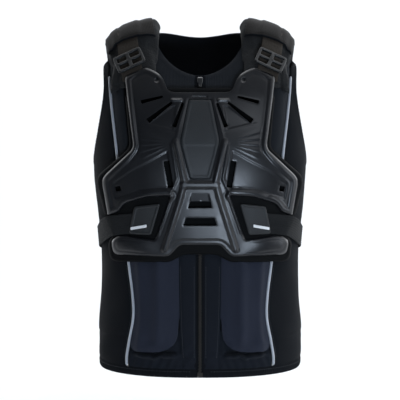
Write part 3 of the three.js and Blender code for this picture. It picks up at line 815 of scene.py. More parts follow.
class Shoulder:
    """The left shoulder as seen from an axis under it, and the padding of the yoke on it.

    An angle of 0 looks to the front, 90 up and 180 to the back.
    """

    AXIS_Z = -120.0
    INNER_X = 64.0
    OUTER_X = 144.0
    STEP_X = 128.0
    EDGE = 0.4
    SQUARE = 4.0
    FAR = 300.0
    HALVINGS = 40
    PROBE = 2.0
    ANGLES = (31, 50, 60, 70, 80, 90, 108, 134, 151)
    INNER_PAD = Curve(ANGLES, (7, 7.5, 7, 8, 18, 26, 28, 20, 11))
    OUTER_PAD = Curve(ANGLES, (10, 12, 11, 13, 20, 27, 28, 20, 11))

    def __init__(self, torso: Torso) -> None:
        """Keep the body."""
        self.torso = torso

    def spot(self, x: Array, angle: Array) -> Array:
        """Find the body along rays from the axis.

        Args:
            x: Places across.
            angle: Angles of the rays.

        Returns:
            The places where they leave the body.
        """
        cos, sin = np.cos(np.radians(angle)), np.sin(np.radians(angle))
        near, far = np.zeros_like(cos), np.full_like(cos, self.FAR)
        torso = self.torso
        for _ in range(self.HALVINGS):
            reach = (near + far) / 2
            y, z = -reach * cos, self.AXIS_Z + reach * sin
            depth = np.where(y < 0, torso.front.at(z), torso.back.at(z))
            within = (np.abs(y) < depth * torso.fullness(x, z)) & (z < torso.TOP)
            near, far = np.where(within, reach, near), np.where(within, far, reach)
        return np.stack([x, -near * cos, self.AXIS_Z + near * sin], axis=1)

    def out(self, x: Array, angle: Array) -> Array:
        """Find the way out of the shoulder."""
        return normals(lambda rows: self.spot(*rows.T), np.stack([x, angle], axis=1), self.PROBE)

    def pad(self, x: Array, angle: Array) -> Array:
        """Find the thickness of the yoke's padding.

        Args:
            x: Places across.
            angle: Angles of the rays.

        Returns:
            Thicknesses, full in the middle and less at the rounded edges.
        """
        step = ramp(x, self.STEP_X, self.OUTER_X)
        full = self.INNER_PAD.at(angle) * (1 - step) + self.OUTER_PAD.at(angle) * step
        t = np.clip(np.abs(2 * (x - self.INNER_X) / (self.OUTER_X - self.INNER_X) - 1), 0, 1)
        return full * (self.EDGE + (1 - self.EDGE) * (1 - t**self.SQUARE) ** (1 / self.SQUARE))

    def over(self, x: Array, angle: Array, height: float) -> Array:
        """Find places over the yoke's padding."""
        return self.spot(x, angle) + self.out(x, angle) * (self.pad(x, angle) + height)[:, None]


@dataclass
class Assembly:
    """Pieces of the vest that are built together.

    Attributes:
        make: Maker of the pieces.
        torso: Surface of the soft body, and the curve that the guard lies on.
    """

    make: Maker
    torso: Torso


@dataclass(frozen=True)
class Rib:
    """Raised rib of the shell: its line with its width, its rise and the height that it grows from."""

    stroke: Stroke
    rise: float
    top: float

    FLANK = (-1.4, 2.6)
    GROWTH = 14.0

    def share(self, spots: Array) -> Array:
        """Give the share of the rise that flat spots have."""
        return ramp(-self.stroke.distance(spots), *self.FLANK) * ramp(self.top - spots[:, 1], 0, self.GROWTH)


@dataclass(frozen=True)
class Recess:
    """Sunk part of the shell: its shape, its depth, and where its slope starts and ends inside its edge."""

    shape: Outline | Stroke
    depth: float
    slope: tuple[float, float]

    def sink(self, spots: Array) -> Array:
        """Give the depth at flat spots."""
        return self.depth * ramp(-self.shape.distance(spots), *self.slope)


@dataclass(frozen=True)
class Zone:
    """Part of the shell's left half: the x and the z where it starts and where it is full."""

    x: tuple[float, float]
    z: tuple[float, float]

    def share(self, spots: Array) -> Array:
        """Give the share of the zone at flat spots, from 0 to 1."""
        return ramp(spots[:, 0], *self.x) * ramp(spots[:, 1], *self.z)


@dataclass
class ChestGuard(Assembly):
    """Moulded chest shell with its insert and the foam liner behind it.

    A pair of values for a fade is where it starts and where it is full.

    Attributes:
        liner_seat: Gap between body and liner.
        liner_thick: Thickness of the foam.
        shell_seat: Gap between liner and shell.
        shell_thick: Thickness of the plate.
        insert_thick: Thickness of the insert.
        fine: Side of the shell's faces.
        coarse: Side of the liner's faces.
    """

    liner_seat: float = 1.2
    liner_thick: float = 9.0
    shell_seat: float = 1.4
    shell_thick: float = 3.5
    insert_thick: float = 3.0
    fine: float = 1.25
    coarse: float = 1.9

    SHELL_BOX = ((0, -335), (160, -27))
    SHELL = Outline.mirrored(
        (51, -69, 9), (62, -42, 12), (88, -29, 9), (122, -45, 6), (107, -158, 9), (157, -206, 11),
        (158, -218, 5), (149, -269, 3), (131, -261, 3), (122, -248, 8), (86, -236, 14), (48, -234, 4),
        (73, -307, 4), (128, -299, 10), (144, -309, 8), (140, -332, 9), (50, -333, 7), (33, -314, 7),
    )
    LINER_BOX = ((0, -346), (169, -61))
    LINER = Outline.mirrored(
        (45, -63, 6), (121, -75, 5), (113, -158, 10), (165, -204, 12), (167, -218, 6), (155, -267, 4),
        (141, -273, 6), (139, -301, 6), (149, -312, 8), (146, -344, 13), (49, -343, 8), (26, -330, 9),
    )
    INSERT_BOX = ((0, -209), (34, -78))
    INSERT = Outline.mirrored((18, -80, 3), (32, -147, 8), (16.5, -207, 4))
    # The opening for the insert is half a millimetre wider all round
    INSERT_HOLE = Outline.mirrored((18.5, -79.5, 3), (32.5, -147, 8), (17, -207.5, 4))
    INSERT_FIELD = Recess(Outline.mirrored((25, -153, 3), (25, -158, 3), (13, -202, 3)), 0.4, (-2.5, 2.5))
    # Louvres under the insert, the fan of slots, a slot beside the ribs and one in each wing
    VENTS = (
        Outline.mirrored((17, -244, 1.5), (19.5, -254, 1.5)),
        Outline.mirrored((23, -270, 1.5), (27.5, -283, 1.5)),
        Outline.wedge((60, -76, 3.5), (95, -85, 6)),
        Outline.wedge((45, -85, 4), (84, -115, 8.5)),
        Outline.wedge((27.5, -86, 4), (42, -124, 7)),
        Outline.wedge((54, -178, 9.5), (47, -221, 9.5)),
        Outline.wedge((128, -223, 8.5), (136, -225, 8.5)),
    )
    RIBS = (
        Rib(Stroke(5.0, (22.5, -80), (33.5, -122), (38.5, -146)), 0.5, -66),
        Rib(Stroke(8.5, (40, -146), (25, -211), (31, -236), (58, -322)), 3.8, -138),
        Rib(Stroke(5.0, (46, -150), (37, -207), (49, -233), (71, -294)), 1.4, -144),
        Rib(Stroke(4.5, (30.5, -81), (45, -81)), 2.8, -60),
        Rib(Stroke(11.0, (0, -216.5), (26, -216.5)), 4.2, -195),
    )
    RIB_FADE = (1, 9)
    PANEL_SLOPE = (-0.4, 3.2)
    WING_PANEL = Outline(
        (51, -160, 4), (81, -177, 8), (112, -193, 8), (143, -215, 6), (138, -243, 5), (88, -225, 12),
        (42, -224, 4),
    )
    FAN_PANEL = Outline((37, -89, 2), (46, -90, 2), (85, -119, 3), (43, -129, 3))
    PANELS = (Recess(WING_PANEL, 1.2, PANEL_SLOPE), Recess(FAN_PANEL, 1.5, PANEL_SLOPE))
    # A line under the fan of slots and a mark over the insert
    GROOVES = (
        Recess(Stroke(2.0, (41, -131), (91, -118)), 0.4, (-1.2, 0.6)),
        Recess(Stroke(2.2, (0, -76), (11, -76)), 1.0, (-0.8, 0.6)),
    )
    # Scoop that slopes down to the upper louvre, and the heights where it starts and is deepest
    SCOOP = Recess(Outline.mirrored((14, -229, 3), (17, -244, 0)), 1.8, (-0.4, 1.6))
    SCOOP_FALL = (-229, -244)
    # Fan of pleats: its centre, first and last angle, number of pleats and their soft ends and folds
    PLEAT_CENTRE = (40.0, -149.0)
    PLEAT_ANGLES = (24.0, -28.0)
    PLEATS = 5
    PLEAT_SOFT = 0.05
    PLEAT_FOLD = (1.0, 0.62)
    PLEAT_START = (6.0, 32.0)
    PLEAT_END = (66.0, 50.0)
    PLEAT_RISE = 1.0
    # Loaf-shaped foot: its middle line, half width and rise, where it fades in, and its groove
    FOOT = Stroke(0, (66, -320), (128, -316))
    FOOT_HALF = 15.0
    FOOT_RISE = 4.2
    FOOT_FADE = (62, 108)
    FOOT_GROOVE = Hump(0.6, 9.0, 1.8)
    TAB_HOLE = (70.0, -50.0)
    TAB_HOLE_WALL = Fade(3.0, 3.8, 2.2)
    # Low lip between the feet
    LIP = Zone((64, 44), (-296, -306))
    LIP_WALL = Fade(1.3, 10.2, 7.8)
    # Rolled rim: width on the flanks, more of it on the wings, less on the legs, rise and groove
    ROLL_WIDTH = 9.0
    WING_ROLL = 3.0
    LEG_ROLL = 4.0
    ROLL_RISE = 2.3
    ROLL_GROOVE = Hump(0.6, 1.4, 2.6)
    WING_FADE = (104, 118)
    UNDER_WING = Zone((44, 52), (-240, -228))
    UNDER_WING_TOP = (-205, -222)
    LEG = Zone((94, 82), (-234, -246))
    FOOT_END = (-304, -292)
    # Zones with less roll, and how much less: tabs, neck and legs
    LESS_ROLL = ((Zone((112, 98), (-90, -74)), 0.75), (Zone((68, 54), (-98, -88)), 0.85), (LEG, 0.5))
    # Rounded edges: of the rim except at the neck, and of every hole
    NECK_EDGE = Zone((72, 58), (-98, -88))
    RIM_EDGE = Fade(1.7, 2.4, 0)
    HOLE_EDGE = Fade(0.3, 2.2, 0)
    INSERT_EDGE = Fade(1.2, 1.8, 0)
    INSERT_BEAD = Hump(0.4, 4.0, 2.4)
    # Foam: its rounding on both faces, less of it at the neck, its pressed line and its vent pockets
    FOAM_ROUND = 4.5
    FOAM_DROP = 4.0
    FOAM_BACK_DROP = 2.0
    FOAM_NECK = Fade(0.8, -80, -68)
    FOAM_LINE = Hump(0.8, 6.2, 1.9)
    VENT_POCKET = Fade(8.2, 2.6, 0.6)

    @property
    def shell_base(self) -> float:
        """Height of the shell's back over the guard's curve."""
        return self.liner_seat + self.liner_thick + self.shell_seat

    @property
    def shell_top(self) -> float:
        """Height of the shell's plain face over the guard's curve."""
        return self.shell_base + self.shell_thick

    def shell_distance(self, spots: Array) -> Array:
        """Measure the distance to the shell's rim and holes, negative on the plate."""
        holes = (-hole.distance(spots) for hole in (self.INSERT_HOLE, *self.VENTS))
        return np.maximum.reduce([self.SHELL.distance(spots), *holes])

    def shell_relief(self, spots: Array, depth: Array) -> Array:
        """Work out the moulded relief of the left half.

        Args:
            spots: Rows of x and z.
            depth: Distance of each spot inside the shell's rim.

        Returns:
            Rise over the plain face.
        """
        rise = -sum(panel.sink(spots) for panel in self.PANELS)
        from_rim = ramp(depth, *self.RIB_FADE)
        for rib in self.RIBS:
            rise += from_rim * rib.share(spots) * np.maximum(rib.rise - rise, 0)
        foot = self.FOOT.distance(spots)
        loaf = self.FOOT_RISE * np.sqrt(np.clip(1 - (foot / self.FOOT_HALF) ** 2, 0, 1))
        loaf -= self.FOOT_GROOVE(foot)
        loaf *= ramp(spots[:, 0], *self.FOOT_FADE)
        rise = np.where(foot < self.FOOT_HALF, np.maximum(rise, loaf), rise)
        rise -= sum(groove.sink(spots) for groove in self.GROOVES)
        start, end = self.SCOOP_FALL
        rise -= self.SCOOP.sink(spots) * np.clip((start - spots[:, 1]) / (start - end), 0, 1)
        rise -= self.TAB_HOLE_WALL(np.hypot(*(spots - self.TAB_HOLE).T))
        rise -= self.LIP.share(spots) * self.LIP_WALL(depth)
        return rise + self._pleats(spots) + self._roll(spots, depth)

    def _roll(self, spots: Array, depth: Array) -> Array:
        """Work out the rolled rim: full on flanks and wings, less on legs and neck, none on the feet.

        Args:
            spots: Rows of x and z.
            depth: Distance of each spot inside the rim.

        Returns:
            Rise of the roll, with a shallow groove along its inner side.
        """
        x, z = spots.T
        wing = ramp(x, *self.WING_FADE)
        wide = np.maximum(wing, self.UNDER_WING.share(spots) * ramp(z, *self.UNDER_WING_TOP))
        width = self.ROLL_WIDTH + self.WING_ROLL * wide - self.LEG_ROLL * self.LEG.share(spots)
        share = 2 * depth / width - 1
        roll = self.ROLL_RISE * np.where(share < 0, np.sqrt(np.clip(1 - share**2, 0, 1)), ramp(share, 1, 0))
        groove = self.ROLL_GROOVE(depth - width) * (1 - wing)
        kept = ramp(z, *self.FOOT_END)
        for zone, less in self.LESS_ROLL:
            kept = kept * (1 - less * zone.share(spots))
        return kept * (roll - groove)

    def _pleats(self, spots: Array) -> Array:
        """Work out the fan of pleats under the slots.

        Args:
            spots: Rows of x and z.

        Returns:
            Rise of the pleats.
        """
        x, z = (spots - self.PLEAT_CENTRE).T
        reach = np.hypot(x, z)
        first, last = self.PLEAT_ANGLES
        place = (first - np.degrees(np.arctan2(z, x))) / (first - last) * self.PLEATS
        share = place - np.floor(place)
        soft = self.PLEAT_SOFT
        within = ramp(place, -soft, soft) * ramp(place, self.PLEATS + soft, self.PLEATS - soft)
        faded = ramp(reach, *self.PLEAT_START) * ramp(reach, *self.PLEAT_END)
        return self.PLEAT_RISE * within * faded * share * ramp(share, *self.PLEAT_FOLD)

    def build(self) -> None:
        """Build and dress the shell, the insert and the liner."""
        self._shell()
        self._insert()
        self._liner()

    def _shell(self) -> None:
        """Build the shell."""
        patch = Patch(*self.SHELL_BOX, self.fine).trim(self.shell_distance).mirror()
        left = patch.left
        depth = -self.SHELL.distance(left)
        height = self.shell_top + self.shell_relief(left, depth)
        height -= (1 - self.NECK_EDGE.share(left)) * self.RIM_EDGE(depth)
        height -= self.HOLE_EDGE(-self.shell_distance(left))
        bm = self.torso.lay_on_guard(patch, height, self.shell_base)
        self.make.piece("guard_shell", bm, SHELL_PLASTIC, "shell_plastic", "chest_shell")

    def _insert(self) -> None:
        """Build the long panel in the middle of the shell."""
        patch = Patch(*self.INSERT_BOX, self.fine).trim(self.INSERT.distance).mirror()
        edge = -self.INSERT.distance(patch.flat)
        height = self.shell_base + self.insert_thick - self.INSERT_EDGE(edge)
        height += self.INSERT_BEAD(edge) - self.INSERT_FIELD.sink(patch.flat)
        bm = self.torso.lay_on_guard(patch, height, self.shell_base)
        self.make.piece("guard_insert", bm, INSERT_PLASTIC, "insert_plastic", "centre_insert")

    def _liner(self) -> None:
        """Build the foam behind the shell."""
        patch = Patch(*self.LINER_BOX, self.coarse).trim(self.LINER.distance).mirror()
        edge = -self.LINER.distance(patch.flat)
        drop = rounding(edge, self.FOAM_ROUND)
        height = self.liner_seat + self.liner_thick - self.FOAM_LINE(edge)
        height -= self.FOAM_DROP * drop * (1 - self.FOAM_NECK(patch.flat[:, 1]))
        to_vent = np.minimum.reduce([vent.distance(patch.left) for vent in self.VENTS])
        height -= self.VENT_POCKET(to_vent)
        bm = self.torso.lay_on_guard(patch, height, self.liner_seat + self.FOAM_BACK_DROP * drop)
        liner = self.make.piece("guard_liner", bm, LINER_FOAM, "liner_foam", "chest_liner")


@dataclass(frozen=True)
class Wave:
    """Ripple of a cloth: its rise, and how far it runs across and up for one radian."""

    rise: float
    across: float
    up: float = math.inf


def ripple(waves: Sequence[Wave], across: Array, z: Array) -> Array:
    """Add up ripples."""
    return sum(wave.rise * np.sin(across / wave.across + z / wave.up) for wave in waves)


@dataclass(frozen=True)
class Lie:
    """Where the points of a panel lie.

    Attributes:
        turn: Turns from the front in degrees.
        x: Places across, as on the left.
        z: Heights.
        edge: Distances to the nearest edge.
    """

    turn: Array
    x: Array
    z: Array
    edge: Array


@dataclass(frozen=True)
class Panel:
    """Panel of cloth between two upright edges.

    Attributes:
        name: Name of the panel.
        edges: Turns of its edges as functions of the height.
        low: Lower height, with None for the top of the hem.
        high: Upper height.
        width: Rough width, for the size of the faces.
        finish: Finish of the cloth.
        slot: The record's material slot.
        relief: Folds as a function of where its points lie.
        sewn_to: Nodes that it is sewn to; not used.
        cut: Outline in its flat coordinates, if its corners are rounded.
        step: Side of its faces.
        is_node: Whether it stands for the node that it is named for.
    """

    name: str
    edges: tuple[Field, Field]
    low: float | None
    high: float
    width: float
    finish: Finish
    slot: str
    relief: Callable[[Lie], Array]
    sewn_to: tuple[str, ...]
    cut: Outline | None = None
    step: float = 3.2
    is_node: bool = True

    # Flat height that stands for the top of the hem
    HEM = -533.0

    @property
    def foot(self) -> float:
        """Lowest flat height."""
        return self.HEM if self.low is None else self.low


@dataclass
class SoftBody(Assembly):
    """Zip-front body of stretch cloth, sewn from panels along the piping and the placket.

    A pair of values for a fade is where it starts and where it is full.

    Attributes:
        wall: Thickness of the cloth.
        seam_gap: Gap between two panels.
        seam_reach: How far a seam pulls the cloth in.
        seam_dip: How deep it pulls the cloth in.
    """

    wall: float = 2.2
    seam_gap: float = 0.5
    seam_reach: float = 7.0
    seam_dip: float = 1.3

    ZIP_HALF = 4.5
    PIPING_GROOVE = 2.0
    CHEST_END = -322.0
    SIDE_END = -20.0
    SIDE_SEAM_Y = 15.0
    CHEST_WIDTH = 150.0
    PLACKET_WIDTH = 28.0
    PAD_WIDTH = 84.0
    SIDE_WIDTH = 120.0
    BACK_WIDTH = 520.0
    # Hem: its edge at the sides, height, slope to the front, lap, ribs and rounded edge
    HEM_Z = -521.0
    HEM_HEIGHT = 14.0
    HEM_SLOPE = 0.085
    HEM_LAP = 3.0
    HEM_LENGTH = 860.0
    HEM_LIFT = 0.6
    HEM_RIB = 4.0
    HEM_RIB_RISE = 0.35
    HEM_EDGE = Fade(1.2, 3.5, 0)
    # Neck hole: an oval from above. Arm hole: an oval from the side. FAR is outside both
    NECK_HALF = (74.0, 70.0)
    NECK_Y = -12.0
    NECK_BOTTOM = -70.0
    ARM_CENTRE = (4.0, -110.0)
    ARM_HALF = (57.0, 76.0)
    ARM_INNER_X = 118.0
    FAR = -220.0
    # Bound edge of the holes
    BINDING = Hump(1.6, 3.0, 3.0)
    PIPING = Curve(
        (-545, -505, -475, -435, -400, -350, -170, -50, 20), (115, 119, 115, 108, 109, 115, 134, 147, 145)
    )
    PIPING_TOP = -47.0
    PIPING_RADIUS = 2.3
    PIPING_SIDES = 12
    PIPING_SEAT = 0.3
    PIPING_HEM_GAP = 1.0
    PIPING_END = (-0.2, 2.5)
    PIPING_END_SIZE = 0.35
    PLACKET = Curve((-545, -440, -300), (27, 33, 35))
    # At the shoulder the edges of chest and side pass from the piping to the side seam
    CHEST_TURN = (-30, -8)
    SIDE_TURN = (-34, -18)
    SIDE_TURN_GAP = 1.0
    # Folds of cloth that lies plain, of the placket with its gathered foot, and of side and back
    SOFT_EDGE = (2, 14)
    SOFT = (Wave(0.5, 9, 31), Wave(0.3, -6, 17))
    PLACKET_EDGE = (1, 8)
    PLACKET_FOOT = (-452, -496)
    PLACKET_RISE = 0.5
    PLACKET_FOLDS = (Wave(1.2, 4 / 3, 4.4), Wave(0.72, -2, 2.9))
    FLANK_EDGE = (1, 10)
    FLANK_FOOT = (-430, -500)
    FLANK_FOLDS = (Wave(0.9, 10 / 0.9, 10),)
    FLANK_SEAM = Bell(1.4, -466, 1.8)
    BACK_FOLDS = (Wave(0.6, 14, 36), Wave(0.3, -11, 15))
    BACK_GATHER = (Wave(1.0, 2.4, 40),)
    BACK_FOOT = (-420, -500)
    # Padded roll of the chest panel beside the piping
    ROLL = Hump(1.0, -14.5, 12.5)
    ROLL_RISE = 5.0
    ROLL_LOW = (-185, -150)
    ROLL_HIGH = (-48, -66)
    # Swollen pad: its rounded corners, rise, soft bands and crests, and the lip over the crease
    PAD_END = -490.0
    PAD_CUT = Outline((0, -300, 0), (84, -300, 0), (84, -490, 20), (6, -490, 34), (0, -420, 30))
    PAD_SEAT = 0.6
    PAD_SWELL = Fade(8.4, -6, 36)
    PAD_FOLD_EDGE = (4, 20)
    PAD_BANDS = (Wave(0.66, 1 / 0.42), Wave(0.36, 5, 55))
    PAD_CRESTS = (Bell(3.4, 66, 7), Bell(2.2, 95, 6))
    LIP = Fade(6.5, -468, -487)
    CREASE_START = (34, 50)
    CREASE_END = (112, 96)
    # Creased band under the pad: a wavy crease with a roll under it
    BAND_TOP = -455.0
    BAND_EDGE = (0, 7)
    CREASE_OFF = 2.0
    CREASE_WAVES = (Wave(1.5, 7), Wave(0.9, 3.1))
    CREASE = Bell(8.0, 0, 2.2)
    UNDER_ROLL = Bell(7.0, 5.5, 3)
    LAP = Fade(3.0, 3, -4)
    PUCKER = (Wave(0.9, 2.2, 5),)
    PUCKER_FADE = (0, 8)

    def hem_z(self, turn: Array, raised: float) -> Array:
        """Find the sloping hem line."""
        level = np.full_like(turn, self.HEM_Z + raised)
        return level + self.HEM_SLOPE * self.torso.on_flank(turn, level)[:, 1]

    def cut_out(self, places: Array) -> Array:
        """Measure the distance into the neck and arm holes.

        Args:
            places: Places on the body.

        Returns:
            Distances, positive in a hole.
        """
        x, y, z = places.T
        in_neck = 1 - np.hypot(x / self.NECK_HALF[0], (y - self.NECK_Y) / self.NECK_HALF[1])
        in_neck = np.where(z > self.NECK_BOTTOM, in_neck * self.NECK_HALF[1], self.FAR)
        in_arm = 1 - np.hypot(*((places[:, 1:] - self.ARM_CENTRE) / self.ARM_HALF).T)
        in_arm = np.where(np.abs(x) > self.ARM_INNER_X, in_arm * self.ARM_HALF[0], self.FAR)
        return np.maximum(in_neck, in_arm)

    def _unroll(self, panel: Panel, spots: Array) -> tuple[Array, Array]:
        """Find where flat spots of a panel lie on the body.

        Args:
            panel: The panel.
            spots: Rows of flat coordinates.

        Returns:
            Turns and heights.
        """
        share, z = spots[:, 0] / panel.width, spots[:, 1]
        first, last = panel.edges
        for _ in range(2):
            turn = first(z) + (last(z) - first(z)) * share
            if panel.low is None:
                bottom = self.hem_z(turn, self.HEM_HEIGHT - self.HEM_LAP)
                z = bottom + (panel.high - bottom) * (spots[:, 1] - panel.foot) / (panel.high - panel.foot)
        return turn, z

    def _outside(self, panel: Panel, spots: Array) -> Array:
        """Measure the distance of flat spots to a panel's holes and cut, positive outside."""
        hole = self.cut_out(self.torso.on_flank(*self._unroll(panel, spots)))
        return hole if panel.cut is None else np.maximum(hole, panel.cut.distance(spots))

    def _sew(self, panel: Panel) -> None:
        """Build one panel.

        Args:
            panel: The panel.
        """
        patch = Patch((0, panel.foot), (panel.width, panel.high), panel.step)
        patch.trim(partial(self._outside, panel))
        turn, z = self._unroll(panel, patch.flat)
        base, out = self.torso.around(turn, z)
        hole = -self.cut_out(base)
        edge = np.minimum(patch.inset(), np.maximum(hole, 0))
        if panel.cut is not None:
            edge = np.minimum(edge, np.maximum(-panel.cut.distance(patch.flat), 0))
        lift = panel.relief(Lie(turn, np.abs(base[:, 0]), z, edge))
        lift = lift - self.seam_dip * ramp(edge, self.seam_reach, 0)
        lift += self.BINDING(hole)
        bm = patch.raise_on(base, out, lift, np.minimum(lift, 0) - self.wall)
        area = cloth_area(bm)
        nodes = [panel.name] if panel.is_node else []
        piece = self.make.piece(f"cloth_{panel.name}", bm, panel.finish, panel.slot, *nodes)

    def build(self) -> None:
        """Build and dress the whole body."""
        for side in Side:
            self._front(side)
            self._piping(side)
        self._back()
        self._hem()

    def _turns(self, side: Side, x: Field) -> Field:
        """Turn an upright line of the front into turns on one side."""
        return lambda z: side.value * self.torso.turn_at_x(x(z), z)

    def _side_seam(self, side: Side, gap: float = 0.0) -> Field:
        """Give the turns of one side seam."""
        return lambda z: side.value * (self.torso.turn_at_back_y(self.SIDE_SEAM_Y, z) - gap)

    @staticmethod
    def _passing(low: Field, high: Field, fade: tuple[float, float]) -> Field:
        """Join two lines into one that passes from the first to the second."""
        return lambda z: low(z) * (1 - ramp(z, *fade)) + high(z) * ramp(z, *fade)

    def _soft(self, lie: Lie) -> Array:
        """Give the folds of cloth that lies plain."""
        return ripple(self.SOFT, lie.turn, lie.z) * ramp(lie.edge, *self.SOFT_EDGE)

    def _chest_folds(self, lie: Lie) -> Array:
        """Give the folds of a chest panel, with the padded roll along the piping.

        Args:
            lie: Where the points of the panel lie.

        Returns:
            How far the cloth lifts off the body.
        """
        roll = self.ROLL(lie.x - self.PIPING.at(lie.z))
        share = ramp(lie.z, *self.ROLL_LOW) * ramp(lie.z, *self.ROLL_HIGH)
        return self._soft(lie) + self.ROLL_RISE * np.sqrt(roll) * share

    def _placket_folds(self, lie: Lie) -> Array:
        """Give the folds of a placket, which is gathered towards the hem."""
        gather = ripple(self.PLACKET_FOLDS, np.abs(lie.turn), lie.z) * ramp(lie.z, *self.PLACKET_FOOT)
        return ramp(lie.edge, *self.PLACKET_EDGE) * (self.PLACKET_RISE + gather)

    def _creased(self, x: Array) -> Array:
        """Give the share of the crease under a pad that shows at some places across."""
        return ramp(x, *self.CREASE_START) * ramp(x, *self.CREASE_END)

    def _pad_folds(self, lie: Lie) -> Array:
        """Give the swell of a pad, with its bands and crests and the lip over the crease.

        Args:
            lie: Where the points of the panel lie.

        Returns:
            How far the cloth lifts off the body.
        """
        folds = ripple(self.PAD_BANDS, np.abs(lie.turn), lie.z)
        folds += sum(crest(lie.x) for crest in self.PAD_CRESTS)
        swell = self.PAD_SEAT + self.PAD_SWELL(lie.edge) + self.LIP(lie.z) * self._creased(lie.x)
        return swell + folds * ramp(lie.edge, *self.PAD_FOLD_EDGE)

    def _band_folds(self, lie: Lie) -> Array:
        """Give the folds of the band under a pad: its lap behind the pad, the crease and the roll.

        Args:
            lie: Where the points of the panel lie.

        Returns:
            How far the cloth lifts off the body.
        """
        fall = self.PAD_END - self.CREASE_OFF - lie.z
        wavy = fall + ripple(self.CREASE_WAVES, lie.x, lie.z)
        roll = self._creased(lie.x) * (self.UNDER_ROLL(wavy) - self.CREASE(wavy))
        pucker = ripple(self.PUCKER, lie.x, lie.z) * ramp(wavy, *self.PUCKER_FADE)
        return (roll + pucker) * ramp(lie.edge, *self.BAND_EDGE) - self.LAP(fall)

    def _flank_folds(self, lie: Lie) -> Array:
        """Give the folds of a side panel, pulled aslant towards the hem, with a seam across."""
        pull = ripple(self.FLANK_FOLDS, np.abs(lie.turn), lie.z) * ramp(lie.z, *self.FLANK_FOOT)
        return self._soft(lie) + ramp(lie.edge, *self.FLANK_EDGE) * (pull - self.FLANK_SEAM(lie.z))

    def _back_folds(self, lie: Lie) -> Array:
        """Give the folds of the back, gathered towards the hem."""
        gather = ripple(self.BACK_GATHER, lie.turn, lie.z) * ramp(lie.z, *self.BACK_FOOT)
        return ramp(lie.edge, *self.SOFT_EDGE) * (ripple(self.BACK_FOLDS, lie.turn, lie.z) + gather)

    def _front(self, side: Side) -> None:
        """Build the front and side panels of one side.

        Args:
            side: Side of the wearer.
        """
        hand, groove = side.word, self.PIPING_GROOVE / 2
        at_zip = self._turns(side, lambda z: self.ZIP_HALF + self.seam_gap)
        at_placket = self._turns(side, self.PLACKET.at)
        in_piping = self._turns(side, lambda z: self.PIPING.at(z) - groove)
        out_piping = self._turns(side, lambda z: self.PIPING.at(z) + groove)
        seam, by_seam = self._side_seam(side), self._side_seam(side, self.SIDE_TURN_GAP)
        chest_outer = self._passing(in_piping, seam, self.CHEST_TURN)
        side_inner = self._passing(out_piping, by_seam, self.SIDE_TURN)
        chest = f"chest_panel_{hand}"
        for panel in (
            Panel(
                chest, (at_zip, chest_outer), self.CHEST_END, self.torso.TOP, self.CHEST_WIDTH,
                CHARCOAL_CLOTH, "charcoal_cloth", self._chest_folds, ("back_panel",),
            ),
            Panel(
                f"placket_{hand}", (at_zip, at_placket), None, self.CHEST_END, self.PLACKET_WIDTH,
                INK_CLOTH, "black_cloth", self._placket_folds, ("zip", chest),
            ),
            Panel(
                f"airbag_panel_{hand}", (at_placket, in_piping), self.PAD_END, self.CHEST_END,
                self.PAD_WIDTH, NAVY_CLOTH, "navy_cloth", self._pad_folds, (chest,), cut=self.PAD_CUT,
            ),
            Panel(
                f"airbag_band_{hand}", (at_placket, in_piping), None, self.BAND_TOP, self.PAD_WIDTH,
                INK_CLOTH, "black_cloth", self._band_folds, ("hem_band",), step=1.2, is_node=False,
            ),
            Panel(
                f"side_panel_{hand}", (side_inner, seam), None, self.SIDE_END, self.SIDE_WIDTH,
                BLACK_CLOTH, "black_cloth", self._flank_folds, ("back_panel",),
            ),
        ):
            self._sew(panel)

    def _back(self) -> None:
        """Build the back panel."""
        left = partial(self.torso.turn_at_back_y, self.SIDE_SEAM_Y + self.seam_gap)
        self._sew(
            Panel(
                "back_panel", (left, lambda z: 360 - left(z)), None, self.torso.TOP, self.BACK_WIDTH,
                BLACK_CLOTH, "black_cloth", self._back_folds, ("yoke_left", "yoke_right"),
            )
        )

    def _hem(self) -> None:
        """Build the ribbed elastic hem round the body."""
        at_zip = self._turns(Side.LEFT, lambda z: self.ZIP_HALF + self.seam_gap)
        start = float(at_zip(np.array([self.HEM_Z]))[0])
        patch = Patch((0, 0), (self.HEM_LENGTH, self.HEM_HEIGHT), step=1.4)
        along, up = patch.flat.T
        turn = start + (360 - 2 * start) * along / self.HEM_LENGTH
        base, out = self.torso.around(turn, self.hem_z(turn, 0.0) + up)
        edge = np.minimum(up, self.HEM_HEIGHT - up)
        lift = self.HEM_LIFT + self.HEM_RIB_RISE * np.cos(2 * np.pi * along / self.HEM_RIB)
        lift -= self.HEM_EDGE(edge)
        bm = patch.raise_on(base, out, lift, np.full_like(lift, -self.wall))
        hem = self.make.piece("cloth_hem", bm, BLACK_CLOTH, "black_cloth", "hem_band")

